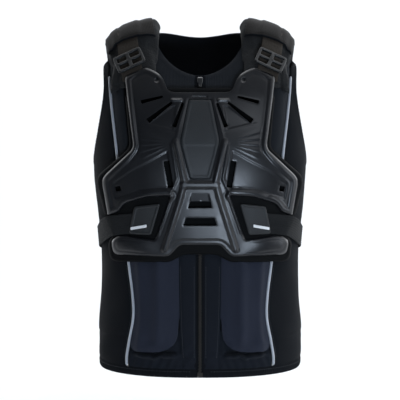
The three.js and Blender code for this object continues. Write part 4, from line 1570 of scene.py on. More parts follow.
    def _piping(self, side: Side) -> None:
        """Build the reflective piping of one front seam as a tube with rounded ends.

        Args:
            side: Side of the wearer.
        """
        top = self.HEM_Z + self.HEM_HEIGHT
        hem_top = np.array([[float(self.PIPING.at(top)), top]])
        low = top + self.HEM_SLOPE * float(self.torso.on_front(hem_top, 0)[0, 1]) + self.PIPING_HEM_GAP
        around = 2 * math.pi * self.PIPING_RADIUS
        patch = Patch((0, low), (around, self.PIPING_TOP), around / self.PIPING_SIDES)
        z = patch.flat[:, 1]
        base, out = self.torso.around(self._turns(side, self.PIPING.at)(z), z)
        across = unit(np.cross(out, (0, 0, 1)))
        angle = patch.flat[:, :1] / self.PIPING_RADIUS
        ends = ramp(np.minimum(z - low, self.PIPING_TOP - z), *self.PIPING_END)
        radius = self.PIPING_RADIUS * (self.PIPING_END_SIZE + (1 - self.PIPING_END_SIZE) * ends)
        ring = np.cos(angle) * out + np.sin(angle) * across
        bm = patch.lay(base + out * self.PIPING_SEAT + ring * radius[:, None])
        bmesh.ops.remove_doubles(bm, verts=bm.verts, dist=Patch.MERGE)
        bmesh.ops.holes_fill(bm, edges=[edge for edge in bm.edges if edge.is_boundary])
        bmesh.ops.recalc_face_normals(bm, faces=bm.faces)
        name = f"piping_{side.word}"
        self.make.piece(f"{name}_tube", bm, PIPING_FILM, "reflective_piping", name)


class Strap:
    """Flat strap of one width along stations, each with its place and the way that its face looks."""

    PROBE = 0.1
    EDGE = (-0.1, 1.4)
    EDGE_SHARE = 0.35

    def __init__(self, places: Array, outs: Array) -> None:
        """Lay curves through the stations.

        Args:
            places: Rows of places.
            outs: Rows of unit vectors.
        """
        keys = lengths(places)
        self.length = float(keys[-1])
        self.line = Curve(keys, places)
        self.face = Curve(keys, outs)

    def frame(self, along: Array) -> tuple[Array, Array, Array]:
        """Find the middle line and the strap's own directions.

        Args:
            along: Lengths from the first station.

        Returns:
            Places, ways across and ways out.
        """
        inside = np.clip(along, self.PROBE, self.length - self.PROBE)
        way = unit(self.line.points(inside + self.PROBE) - self.line.points(inside - self.PROBE))
        across = unit(np.cross(way, self.face.points(along)))
        return self.line.points(along), across, unit(np.cross(across, way))

    def mesh(self, width: float, thick: float, side: Side, step: float, rise: Field | None = None) -> BMesh:
        """Make the strap as a closed mesh with rounded edges.

        Args:
            width: Width of the strap.
            thick: Thickness of the strap.
            side: Side of the wearer.
            step: Side of its faces.
            rise: Relief of its face by the distance from its middle line.

        Returns:
            The mesh.
        """
        patch = Patch((-width / 2, 0), (width / 2, self.length), step)
        place, across, out = self.frame(patch.flat[:, 1])
        half = thick / 2 * (self.EDGE_SHARE + (1 - self.EDGE_SHARE) * ramp(patch.inset(), *self.EDGE))
        middle = side.mirror(place + across * patch.flat[:, :1])
        face = half if rise is None else half + rise(np.abs(patch.flat[:, 0]))
        return patch.raise_on(middle, side.mirror(out), face, -half)


@dataclass
class ShoulderHarness(Assembly):
    """Padded yokes with their covers, the webbing over them and the ladder buckles at the shell's tabs.

    Attributes:
        guard: The chest guard that the webbing runs to.
        seat: Gap between body and yoke.
        shrink: How much thinner than its padding the yoke starts before it swells.
        voxel: Size of the voxels that it is remeshed with.
        swell: Furthest that a point moves in the simulation.
        pressure: Pressure of the filling in the simulation.
        frames: Frames of the simulation.
    """

    guard: ChestGuard
    seat: float = 1.4
    shrink: float = 2.0
    voxel: float = 4.5
    swell: float = 4.5
    pressure: float = 4.0
    frames: int = 20

    # Pad before it swells: length along its middle and least thickness
    PAD_LENGTH = 240.0
    PAD_LEAST = 2.5
    # Share of a move towards the body that is kept
    INWARD_SHARE = 0.1
    # Seams pressed into the pad, by x and by angle. What is less than the slack isn't pressed
    PANEL_SEAM = Hump(2.2, 131.0, 4.0)
    LOWER_SEAM = Hump(1.8, 38.0, 2.6)
    SEAM_SLACK = 0.4
    OUTER_FACE = 0.2
    # Rays that find the pad start this far out, and reach this far where they miss it
    RAY_START = 80.0
    RAY_MISS = 70.0
    WEBBING_WIDTH = 35.0
    WEBBING_THICK = 2.0
    WEBBING_SEAT = 0.6
    YOKE_ANGLES = (100.0, 94.0, 88.0, 82.0)
    YOKE_X = 112.0
    YOKE_LIFT = 4.0
    TAB = np.array([(108.0, -50.0)])
    TAB_LIFT = 2.9
    TAB_SINK = 1.5
    # Cover: its edges across, the angles of its hems, length and thickness
    COVER_X = (70.0, 141.0)
    COVER_ANGLES = (76.0, 126.0)
    COVER_LENGTH = 108.0
    COVER_THICK = 1.4
    # The cover stands off the pad a little, more over the webbing and at its open front hem
    COVER_SEAT = 0.5
    STRAP_SIDES = Fade(2.6, 6.0, -1.0)
    STRAP_END = (106.0, 100.0)
    GAPE = Fade(1.2, 14.0, 0.0)
    HEM_LINE = Hump(0.5, 8.0, 1.8)
    COVER_EDGE = (0.0, 2.5)
    COVER_EDGE_SHARE = 0.55
    BINDING_WIDTH = 3.8
    BINDING_THICK = 3.2
    BINDING_STATIONS = 24
    # Ladder buckle: the lines of its bars and windows, thickness, place between tab and yoke, and lean
    BUCKLE_COLUMNS = (-24.0, -19.5, -3.0, 3.0, 19.5, 24.0)
    BUCKLE_ROWS = (-17.0, -12.5, -2.2, 2.2, 12.5, 17.0)
    WINDOW_X = (3.0, 19.0)
    WINDOW_Y = (2.0, 12.0)
    BUCKLE_THICK = 4.0
    BUCKLE_LIFT = 1.6
    BUCKLE_SHARE = 0.37
    BUCKLE_LEAN = math.radians(11)
    # Roundings of its outer corners, its windows' corners and its rims, with their segments
    CORNER_START = (23.0, 15.0)
    CORNER_ROUND = 5.0
    WINDOW_ROUND = 1.4
    UPRIGHT_SEGMENTS = 4
    RIM_ROUND = 1.1
    RIM_SEGMENTS = 3
    UPRIGHT_TURN = 0.5
    RIM_TURN = 1.2
    LEVEL = 0.9
    FLAT_TURN = 0.01

    def __post_init__(self) -> None:
        """Find the shoulder under the harness."""
        self.shoulder = Shoulder(self.torso)

    def build(self) -> None:
        """Build and dress both shoulders."""
        pad = self._pad_mesh()
        for side in Side:
            mesh = pad.copy()
            if side is Side.RIGHT:
                mesh.transform(Matrix.Scale(-1, 4, (1, 0, 0)))
                mesh.flip_normals()
            name = f"yoke_{side.word}"
            piece = self.make.piece(f"{name}_pad", mesh, PAD_MESH, "pad_cloth", name)
        surface = search_tree(pad)
        for side in Side:
            self._cover(side, surface)
            self._webbing(side, surface)
            self._buckle(side)
        bpy.data.meshes.remove(pad)

    def _pad_mesh(self) -> bpy.types.Mesh:
        """Make the left yoke's pad, swollen by its filling, with its seams pressed in.

        Returns:
            Its mesh in metres.
        """
        first, last = Shoulder.ANGLES[0], Shoulder.ANGLES[-1]
        patch = Patch((Shoulder.INNER_X, 0), (Shoulder.OUTER_X, self.PAD_LENGTH), step=4.0)
        x, angle = patch.flat[:, 0], first + (last - first) * patch.flat[:, 1] / self.PAD_LENGTH
        pad = np.maximum(self.shoulder.pad(x, angle) - self.shrink, self.PAD_LEAST)
        spot, out = self.shoulder.spot(x, angle), self.shoulder.out(x, angle)
        bm = patch.raise_on(spot, out, self.seat + pad, np.full_like(pad, self.seat))
        holder = add_object("yoke_form", to_mesh("yoke_form", bm))
        self._apply(holder, "REMESH", mode="VOXEL", voxel_size=self.voxel * MM)
        self._inflate(holder)
        self._apply(holder, "SUBSURF", levels=1, render_levels=1)
        form = holder.data
        bpy.data.objects.remove(holder)
        self._press_seams(form)
        return form

    @staticmethod
    def _apply(holder: bpy.types.Object, kind: str, **settings) -> None:
        """Add a modifier to an object and apply it.

        Args:
            holder: The object.
            kind: Type of the modifier.
            **settings: Its settings.
        """
        modifier = holder.modifiers.new(kind.lower(), kind)
        for name, value in settings.items():
            setattr(modifier, name, value)
        depsgraph = bpy.context.evaluated_depsgraph_get()
        mesh = bpy.data.meshes.new_from_object(holder.evaluated_get(depsgraph))
        holder.modifiers.clear()
        holder.data = mesh

    @staticmethod
    def _read(mesh: bpy.types.Mesh, name: str = "co") -> Array:
        """Read the places of a mesh's points, or their normals.

        Args:
            mesh: The mesh.
            name: "co" for the places, "normal" for the normals.

        Returns:
            One row for each point.
        """
        values = np.empty(len(mesh.vertices) * 3)
        mesh.vertices.foreach_get(name, values)
        return values.reshape(-1, 3)

    @staticmethod
    def _radial(places: Array) -> Array:
        """Find the ways straight out of the shoulder's axis at places in metres."""
        return unit((places - (0, 0, Shoulder.AXIS_Z * MM)) * (0, 1, 1))

    def _inflate(self, holder: bpy.types.Object) -> None:
        """Let the filling swell the pad, held back where it sits on the body.

        Args:
            holder: Object with the pad's form.
        """
        before = self._read(holder.data)
        cloth = holder.modifiers.new("cloth", "CLOTH")
        cloth.settings.use_pressure = True
        cloth.settings.uniform_pressure_force = self.pressure
        cloth.settings.effector_weights.gravity = 0
        scene = bpy.context.scene
        for frame in range(1, self.frames + 1):
            scene.frame_set(frame)
        depsgraph = bpy.context.evaluated_depsgraph_get()
        move = self._read(holder.evaluated_get(depsgraph).data) - before
        holder.modifiers.clear()
        scene.frame_set(1)
        reach = np.linalg.norm(move, axis=1, keepdims=True)
        move *= np.minimum(1, self.swell * MM / np.maximum(reach, TINY))
        inwards = (move * self._radial(before)).sum(axis=1) < 0
        move[inwards] *= self.INWARD_SHARE
        holder.data.vertices.foreach_set("co", (before + move).ravel())

    def _press_seams(self, mesh: bpy.types.Mesh) -> None:
        """Press the sewn lines into the pad: one along its outer panel and one across its lower front.

        Args:
            mesh: Mesh of the pad in metres.
        """
        places = self._read(mesh)
        radial = self._radial(places)
        angle = np.degrees(np.arctan2(radial[:, 2], -radial[:, 1]))
        outer = (self._read(mesh, "normal") * radial).sum(axis=1) > self.OUTER_FACE
        dip = self.PANEL_SEAM(places[:, 0] / MM) + self.LOWER_SEAM(angle)
        dip = np.maximum(0, dip - self.SEAM_SLACK) * outer * MM
        mesh.vertices.foreach_set("co", (places - radial * dip[:, None]).ravel())

    def _on_pad(self, surface: BVHTree, x: Array, angle: Array) -> tuple[Array, Array]:
        """Find the pad's face from outside.

        Args:
            surface: Search tree of the left pad.
            x: Places across.
            angle: Angles round the shoulder's axis.

        Returns:
            Places in millimetres, and ways out of the shoulder.
        """
        out = self.shoulder.out(x, angle)
        hits = []
        for origin, way in zip(self.shoulder.spot(x, angle) + out * self.RAY_START, -out):
            place = surface.ray_cast(Vector(origin * MM), Vector(way))[0]
            hits.append(origin + way * self.RAY_MISS if place is None else np.array(place) / MM)
        return np.array(hits), out

    def _cover_lift(self, x: Array, angle: Array, along: Array) -> Array:
        """Work out how far the cover stands off the pad: most over the webbing and at its front hem.

        Args:
            x: Places across.
            angle: Angles round the shoulder's axis.
            along: Lengths from the front hem.

        Returns:
            Gaps between pad and cover.
        """
        inner, outer = self.COVER_X
        off_strap = np.abs(x - self.YOKE_X) - self.WEBBING_WIDTH / 2
        lift = self.COVER_SEAT + self.STRAP_SIDES(off_strap) * ramp(angle, *self.STRAP_END)
        lift += self.GAPE(along) - self.HEM_LINE(along)
        edge = ramp(np.minimum(x - inner, outer - x), *self.COVER_EDGE)
        return lift * (self.COVER_EDGE_SHARE + (1 - self.COVER_EDGE_SHARE) * edge)

    def _cover(self, side: Side, surface: BVHTree) -> None:
        """Build the woven cover on top of one yoke, with the bound hem that the webbing comes out of.

        Args:
            side: Side of the wearer.
            surface: Search tree of the left pad.
        """
        (inner, outer), (front, back), length = self.COVER_X, self.COVER_ANGLES, self.COVER_LENGTH
        patch = Patch((inner, 0), (outer, length), step=2.4)
        x, along = patch.flat.T
        angle = front + (back - front) * along / length
        base, out = self._on_pad(surface, x, angle)
        lift = self._cover_lift(x, angle, along)
        face = lift + self.COVER_THICK
        middle = np.abs(along - length / 2)
        row = (base + out * face[:, None])[np.isclose(middle, middle.min()) & (along >= length / 2)]
        width = float(lengths(row)[-1]) * MM
        bm = patch.raise_on(side.mirror(base), side.mirror(out), face, lift)
        flat = (width, cloth_area(bm) / width)
        name = f"yoke_{side.word}"
        piece = self.make.piece(f"{name}_cover", bm, COVER_WEAVE, "pad_cloth")
        binding = self._binding(side, surface)

    def _binding(self, side: Side, surface: BVHTree) -> bpy.types.Object:
        """Build the black tape that binds the front hem of one cover.

        Args:
            side: Side of the wearer.
            surface: Search tree of the left pad.

        Returns:
            The new piece.
        """
        x = np.linspace(*self.COVER_X, self.BINDING_STATIONS)
        angle = np.full_like(x, self.COVER_ANGLES[0])
        base, out = self._on_pad(surface, x, angle)
        lift = self._cover_lift(x, angle, np.zeros_like(x)) + self.COVER_THICK / 2
        tape = Strap(base + out * lift[:, None], out)
        bm = tape.mesh(self.BINDING_WIDTH, self.BINDING_THICK, side, step=0.8)
        return self.make.piece(f"yoke_{side.word}_binding", bm, BLACK_CLOTH, "pad_cloth")

    def _buckle_place(self) -> tuple[Array, Array]:
        """Find the left buckle on the straight line from the tab to the yoke.

        Returns:
            The buckle's place and the way along the line, as rows.
        """
        x, angle = np.array([self.YOKE_X]), np.array(self.YOKE_ANGLES[-1:])
        tab = self.torso.on_guard(self.TAB, self.guard.shell_top + self.TAB_LIFT)
        yoke = self.shoulder.over(x, angle, self.seat + self.YOKE_LIFT)
        return tab * (1 - self.BUCKLE_SHARE) + yoke * self.BUCKLE_SHARE, unit(yoke - tab)

    def _buckle_out(self, angle: float) -> Array:
        """Find the way out at the left buckle, between those of the tab and of the yoke.

        Args:
            angle: Angle of the place on the yoke.

        Returns:
            A row with the way.
        """
        on_yoke = self.shoulder.out(np.array([self.YOKE_X]), np.array([angle]))
        on_tab = self.torso.guard_normals(self.TAB)
        return unit(on_tab * (1 - self.BUCKLE_SHARE) + on_yoke * self.BUCKLE_SHARE)

    def _webbing(self, side: Side, surface: BVHTree) -> None:
        """Build the webbing of one shoulder: over the yoke, behind the buckle and down under the tab.

        Args:
            side: Side of the wearer.
            surface: Search tree of the left pad.
        """
        hem = self.COVER_ANGLES[0]
        angle = np.array((*self.YOKE_ANGLES, hem))
        over, out = self._on_pad(surface, np.full_like(angle, self.YOKE_X), angle)
        over = over + out * (self.WEBBING_SEAT + self.WEBBING_THICK / 2)
        end = self.torso.on_guard(self.TAB, self.guard.shell_base - self.TAB_SINK)
        outs = (out, self._buckle_out(hem), self.torso.guard_normals(self.TAB))
        strap = Strap(np.concatenate([over, self._buckle_place()[0], end]), np.concatenate(outs))
        bm = strap.mesh(self.WEBBING_WIDTH, self.WEBBING_THICK, side, step=1.6)
        name = f"shoulder_strap_{side.word}"
        piece = self.make.piece(f"{name}_webbing", bm, WEBBING, "webbing", name)

    def _buckle_form(self) -> BMesh:
        """Make the ladder buckle, lying flat: a moulded frame with two columns of two windows.

        Returns:
            Its mesh.
        """
        bars = len(self.BUCKLE_COLUMNS) - 1
        bm = bmesh.new()
        bmesh.ops.create_grid(bm, x_segments=bars, y_segments=bars, size=bars / 2)
        for vert in bm.verts:
            column, row = (round(place + bars / 2) for place in vert.co.xy)
            vert.co.xy = self.BUCKLE_COLUMNS[column], self.BUCKLE_ROWS[row]
        (left, right), (low, high) = self.WINDOW_X, self.WINDOW_Y
        middles = [(face, face.calc_center_median()) for face in bm.faces]
        windows = [face for face, at in middles if left < abs(at.x) < right and low < abs(at.y) < high]
        bmesh.ops.delete(bm, geom=windows, context="FACES")
        made = bmesh.ops.extrude_face_region(bm, geom=list(bm.faces), use_keep_orig=True)
        top = [item for item in made["geom"] if isinstance(item, bmesh.types.BMVert)]
        bmesh.ops.translate(bm, vec=(0, 0, self.BUCKLE_THICK), verts=top)
        bmesh.ops.recalc_face_normals(bm, faces=bm.faces)
        self._round_buckle(bm)
        return bm

    def _round_buckle(self, bm: BMesh) -> None:
        """Round the corners of the buckle and its windows, and then the rims of both faces.

        Args:
            bm: Mesh of the buckle, lying flat.
        """
        style = {"profile": 0.5, "affect": "EDGES", "material": -1}
        far_x, far_y = self.CORNER_START
        for outer, width in ((True, self.CORNER_ROUND), (False, self.WINDOW_ROUND)):
            chosen = []
            for edge in bm.edges:
                start, end = (vert.co for vert in edge.verts)
                upright = abs(start.z - end.z) > 1 and edge.calc_face_angle(0) > self.UPRIGHT_TURN
                if upright and (abs(start.x) > far_x and abs(start.y) > far_y) is outer:
                    chosen.append(edge)
            bmesh.ops.bevel(bm, geom=chosen, offset=width, segments=self.UPRIGHT_SEGMENTS, **style)
        level = [e for e in bm.edges if any(abs(face.normal.z) > self.LEVEL for face in e.link_faces)]
        bmesh.ops.dissolve_limit(bm, angle_limit=self.FLAT_TURN, verts=bm.verts, edges=level)
        rims = []
        for edge in bm.edges:
            start, end = (vert.co for vert in edge.verts)
            if edge.calc_face_angle(0) > self.RIM_TURN and start.z == end.z:
                rims.append(edge)
        bmesh.ops.bevel(bm, geom=rims, offset=self.RIM_ROUND, segments=self.RIM_SEGMENTS, **style)

    def _buckle(self, side: Side) -> None:
        """Build the ladder buckle of one shoulder, leaning with the webbing.

        Args:
            side: Side of the wearer.
        """
        bm = self._buckle_form()
        (place,), (up,) = self._buckle_place()
        up = side.mirror(up)
        across = unit(np.cross(up, side.mirror(self._buckle_out(self.YOKE_ANGLES[-1])[0])))
        out = np.cross(across, up)
        at = side.mirror(place) + out * (self.WEBBING_THICK / 2 + self.BUCKLE_LIFT)
        turn = Matrix(np.column_stack([across, up, out]).tolist()).to_4x4()
        lean = Matrix.Rotation(-side.value * self.BUCKLE_LEAN, 4, "Z")
        bmesh.ops.transform(bm, matrix=Matrix.Translation(at) @ turn @ lean, verts=bm.verts)
        name = f"buckle_{side.word}"
        self.make.piece(f"{name}_frame", bm, BUCKLE_PLASTIC, "buckle_plastic", name)


@dataclass
class SideFastening(Assembly):
    """Elastic side straps with their rubber ends and stripes, and the plain plate on the back.

    Attributes:
        guard: The chest guard whose notches hold the rubber ends.
    """

    guard: ChestGuard

    # Elastic: on the guard by x and z, then round the ribs by turn and height, with cords along it
    FRONT = np.array([(84.0, -278.0), (118.0, -281.0), (146.0, -286.0)])
    ROUND = np.array([(80.0, -306.0), (95.0, -314.0), (112.0, -320.0), (127.0, -325.0), (134.0, -327.0)])
    STRAP_WIDTH = 33.0
    STRAP_THICK = 2.0
    STRAP_SEAT = 1.6
    CORD_PITCH = 3.6
    CORD_EDGE = Fade(0.3, 0.5, 2)
    # Rubber end, with a raised border round a sunk field
    PATCH_BOX = ((62, -300), (117, -245))
    PATCH = Outline((64, -247, 4), (106, -252, 5), (115, -297, 6), (79, -298, 4))
    PATCH_SEAT = 1.2
    PATCH_THICK = 2.5
    PATCH_EDGE = Fade(1.4, 1.6, 0)
    FIELD = Fade(0.9, 3.0, 4.6)
    STRIPE_BOX = ((85, -292), (113, -280))
    STRIPE = Outline((86, -281, 0.8), (112, -286, 0.8), (112, -290.5, 0.8), (86, -285.5, 0.8))
    STRIPE_SINK = 0.6
    STRIPE_THICK = 1.3
    STRIPE_EDGE = Fade(0.4, 0.8, 0)
    # Back plate, with a raised border
    BACK_BOX = ((0, -407), (122, -80))
    BACK = Outline.mirrored((112, -82, 18), (120, -150, 26), (110, -345, 30), (62, -405, 28))
    BACK_SEAT = 1.2
    BACK_THICK = 9.0
    BACK_ROUND = 4.0
    BACK_DROP = 3.2
    BORDER = Hump(1.2, 9, 5)
    BORDER_END = Fade(1.2, 12, 17)

    def build(self) -> None:
        """Build and dress the straps, their ends and the back plate."""
        for side in Side:
            self._strap(side)
            self._end(side)
        self._back_plate()

    def _cords(self, off_middle: Array) -> Array:
        """Give the relief of the elastic's cords by the distance from its middle line."""
        rise = self.CORD_EDGE(self.STRAP_WIDTH / 2 - off_middle)
        return rise * np.cos(2 * np.pi * off_middle / self.CORD_PITCH)

    def _strap(self, side: Side) -> None:
        """Build one elastic strap from the notch round the ribs.

        Args:
            side: Side of the wearer.
        """
        half = self.STRAP_THICK / 2
        front_out = self.torso.guard_normals(self.FRONT)
        front = self.torso.on_guard(self.FRONT, self.guard.shell_base) + front_out * half
        base, round_out = self.torso.around(*self.ROUND.T)
        places = np.concatenate([front, base + round_out * (self.STRAP_SEAT + half)])
        strap = Strap(places, np.concatenate([front_out, round_out]))
        bm = strap.mesh(self.STRAP_WIDTH, self.STRAP_THICK, side, step=1.2, rise=self._cords)
        name = f"side_strap_{side.word}"
        piece = self.make.piece(f"{name}_elastic", bm, ELASTIC, "webbing", name)

    def _end(self, side: Side) -> None:
        """Build the rubber end of one strap, with its raised border and its stripe.

        Args:
            side: Side of the wearer.
        """
        base = self.guard.shell_base + self.STRAP_THICK + self.PATCH_SEAT
        patch = Patch(*self.PATCH_BOX, step=1.0).trim(self.PATCH.distance)
        edge = -self.PATCH.distance(patch.flat)
        high = base + self.PATCH_THICK - self.PATCH_EDGE(edge) - self.FIELD(edge)
        bm = self.torso.lay_on_guard(patch, high, base, side)
        name = f"strap_patch_{side.word}"
        self.make.piece(f"{name}_rubber", bm, PATCH_RUBBER, "patch_rubber", name)
        low = base + self.PATCH_THICK - self.STRIPE_SINK
        patch = Patch(*self.STRIPE_BOX, step=0.7).trim(self.STRIPE.distance)
        edge = -self.STRIPE.distance(patch.flat)
        high = low + self.STRIPE_THICK - self.STRIPE_EDGE(edge)
        bm = self.torso.lay_on_guard(patch, high, low, side)
        name = f"reflective_tab_{side.word}"
        self.make.piece(f"{name}_film", bm, STRIPE_FILM, "reflective_stripe", name)

    def _back_plate(self) -> None:
        """Build the plain plate on the back."""
        patch = Patch(*self.BACK_BOX, step=2.4).trim(self.BACK.distance).mirror()
        edge = -self.BACK.distance(patch.flat)
        high = self.BACK_SEAT + self.BACK_THICK - self.BACK_DROP * rounding(edge, self.BACK_ROUND)
        high += self.BORDER(edge) - self.BORDER_END(edge)
        outer, inner = (self.torso.on_back(patch.flat, height) for height in (high, self.BACK_SEAT))
        bm = patch.lay(outer, inner)
        self.make.piece("back_plate_shell", bm, SHELL_PLASTIC, "shell_plastic", "back_plate")


@dataclass
class FrontZip(Assembly):
    """Coil zip down the middle of the front, with its slider at the top."""

    TAPE_HALF = 9.0
    TAPE_DEPTHS = (-0.9, -2.1)
    TOP = -43.0
    BOTTOM = -531.0
    # Coil: bars from both sides in turn, below a top gap and above the stop
    PITCH = 2.4
    TOP_GAP = 4.0
    STOP_GAP = 6.0
    BAR = (4.8, 1.5, 2.16)
    BAR_SHIFT = 0.6
    BAR_SINK = 0.3
    STOP = (9.0, 3.4, 8.0)
    STOP_LIFT = 0.6
    BAR_ROUND = 0.35
    # Slider with its puller, which has a small hole
    SLIDER_BOX = ((-5, -62), (5, -45))
    SLIDER = Outline.mirrored((4.5, -46, 2), (4.5, -55, 2), (2.6, -56, 1), (2.6, -61.5, 1.5))
    SLIDER_THICK = 3.6
    SLIDER_SEAT = 0.2
    SLIDER_EDGE = Fade(1.4, 1.3, 0)
    HOLE = (0.0, -59.0)
    HOLE_WALL = Fade(0.8, 1.1, 0.6)

    def build(self) -> None:
        """Build and dress the tape, the coil and the slider."""
        patch = Patch((-self.TAPE_HALF, self.BOTTOM), (self.TAPE_HALF, self.TOP), step=2.0)
        bm = patch.lay(*(self.torso.on_front(patch.flat, height) for height in self.TAPE_DEPTHS))
        tape = self.make.piece("zip_tape", bm, BLACK_CLOTH, "black_cloth", "zip")
        self._coil()
        self._slider()

    def _coil(self) -> None:
        """Build the coil, short rounded bars from both sides in turn, with the stop at its foot."""
        count = int((self.TOP - self.TOP_GAP - self.BOTTOM - self.STOP_GAP) / self.PITCH)
        number = np.arange(count)
        x = np.where(number % 2, self.BAR_SHIFT, -self.BAR_SHIFT)
        bars = np.stack([x, self.TOP - self.TOP_GAP - number * self.PITCH], axis=1)
        stop = np.array([(0.0, self.BOTTOM + self.STOP[2] / 2)])
        bm = bmesh.new()
        for spots, height, size in ((bars, -self.BAR_SINK, self.BAR), (stop, self.STOP_LIFT, self.STOP)):
            for place in self.torso.on_front(spots, height):
                matrix = Matrix.Translation(place) @ Matrix.Diagonal((*size, 1))
                bmesh.ops.create_cube(bm, size=1.0, matrix=matrix)
        edges = list(bm.edges)
        bmesh.ops.bevel(
            bm, geom=edges, offset=self.BAR_ROUND, segments=1, profile=0.5, affect="EDGES", material=-1
        )
        self.make.piece("zip_coil", bm, ZIP_NYLON, "zip_nylon")

    def _slider(self) -> None:
        """Build the slider."""
        patch = Patch(*self.SLIDER_BOX, step=0.6).trim(self.SLIDER.distance)
        edge = -self.SLIDER.distance(patch.flat)
        high = self.SLIDER_THICK - self.SLIDER_EDGE(edge)
        high -= self.HOLE_WALL(np.hypot(*(patch.flat - self.HOLE).T))
        bm = patch.lay(*(self.torso.on_front(patch.flat, height) for height in (high, self.SLIDER_SEAT)))
        self.make.piece("zip_slider_puller", bm, ZIP_SLIDER, "zip_nylon", "zip_slider")


@dataclass
class Stitching(Assembly):
    """Rows of lockstitch along the seams, laid on the cloth that they hold.

    Attributes:
        body: Soft body whose panels are sewn.
        pitch: Distance from one stitch to the next.
        length: Length of a stitch.
        width: Width of the thread.
        rise: How far the thread stands out of the cloth.
    """

    body: SoftBody
    pitch: float = 4.4
    length: float = 3.2
    width: float = 0.9
    rise: float = 0.8

    STEPS = 160
    CLEAR = 30.0
    # Upper and lower height of the rows along the front seams and along the side seam
    FRONT_ROW = (-350.0, -500.0)
    SIDE_ROW = (-210.0, -500.0)
    # How far the rows lie from the zip, the placket's edge and the piping, and in degrees the side seam
    OFF_ZIP = 5.0
    OFF_PLACKET = 3.0
    OFF_PIPING = 5.0
    OFF_SIDE_SEAM = 2.0
    # Two rows that sew the end of each side strap down: their turns, and their upper and lower height
    STRAP_END_TURNS = (129.0, 132.0)
    STRAP_ROW = (-313.0, -340.0)
    # Row round the hem: its first and last turn, and how far it lies under the hem's top
    HEM_TURNS = (4.0, 356.0)
    UNDER_HEM_TOP = 4.0

    def build(self) -> None:
        """Build all rows as one piece."""
        body, torso = self.body, self.torso
        bm = bmesh.new()
        rows = (self.FRONT_ROW, self.SIDE_ROW, self.STRAP_ROW)
        front, flank, end = (np.linspace(*row, self.STEPS) for row in rows)
        for side in Side:
            lines = (
                ("placket", body.ZIP_HALF + self.OFF_ZIP),
                ("placket", body.PLACKET.at(front) - self.OFF_PLACKET),
                ("side_panel", body.PIPING.at(front) + self.OFF_PIPING),
            )
            for name, x in lines:
                turn = side.value * torso.turn_at_x(x, front)
                self._row(bm, f"cloth_{name}_{side.word}", turn, front)
            seam = torso.turn_at_back_y(body.SIDE_SEAM_Y, flank) + self.OFF_SIDE_SEAM
            self._row(bm, "cloth_back_panel", side.value * seam, flank)
            for turn in self.STRAP_END_TURNS:
                self._row(bm, f"side_strap_{side.word}_elastic", np.full_like(end, side.value * turn), end)
        around = np.linspace(*self.HEM_TURNS, 4 * self.STEPS)
        self._row(bm, "cloth_hem", around, body.hem_z(around, body.HEM_HEIGHT - self.UNDER_HEM_TOP))
        self.make.piece("seam_stitches", bm, THREAD, "black_cloth")

    def _row(self, bm: BMesh, piece: str, turn: Array, z: Array) -> None:
        """Lay one row of stitches on a piece.

        Args:
            bm: Mesh that takes the stitches.
            piece: Name of the piece that they hold.
            turn: Turns along the row.
            z: Heights along the row.
        """
        cloth = search_tree(bpy.data.objects[piece].data)
        passed = lengths(self.torso.on_flank(turn, z))
        along = np.arange(self.pitch / 2, passed[-1], self.pitch)
        places, outs = self.torso.around(np.interp(along, passed, turn), np.interp(along, passed, z))
        size = Matrix.Diagonal((self.length, self.width, self.rise, 1))
        for place, out, way in zip(places, outs, np.gradient(places, axis=0)):
            hit = cloth.ray_cast(Vector((place + out * self.CLEAR) * MM), Vector(-out))[0]
            if hit is not None:
                across = unit(np.cross(out, way))
                axes = np.column_stack([unit(np.cross(across, out)), across, out])
                at = Matrix.Translation(hit / MM) @ Matrix(axes.tolist()).to_4x4() @ size
                bmesh.ops.create_icosphere(bm, subdivisions=1, radius=0.5, matrix=at)


@dataclass(frozen=True)
class Lamp:
    """Area light: its name, its place and size in metres, its power in watts and its colour."""

    name: str
    place: tuple[float, float, float]
    width: float
    height: float
    power: float
    colour: str

    def hang(self, aim: Vector) -> None:
        """Hang the light.

        Args:
            aim: Place that it shines at.
        """
        light = bpy.data.lights.new(self.name, "AREA")
        light.shape = "RECTANGLE"
        light.size = self.width
        light.size_y = self.height
        light.energy = self.power
        light.color = linear(self.colour)[:3]
        holder = add_object(self.name, light)
        holder.location = self.place
        holder.rotation_mode = "QUATERNION"
        holder.rotation_quaternion = (aim - Vector(self.place)).to_track_quat("-Z", "Y")


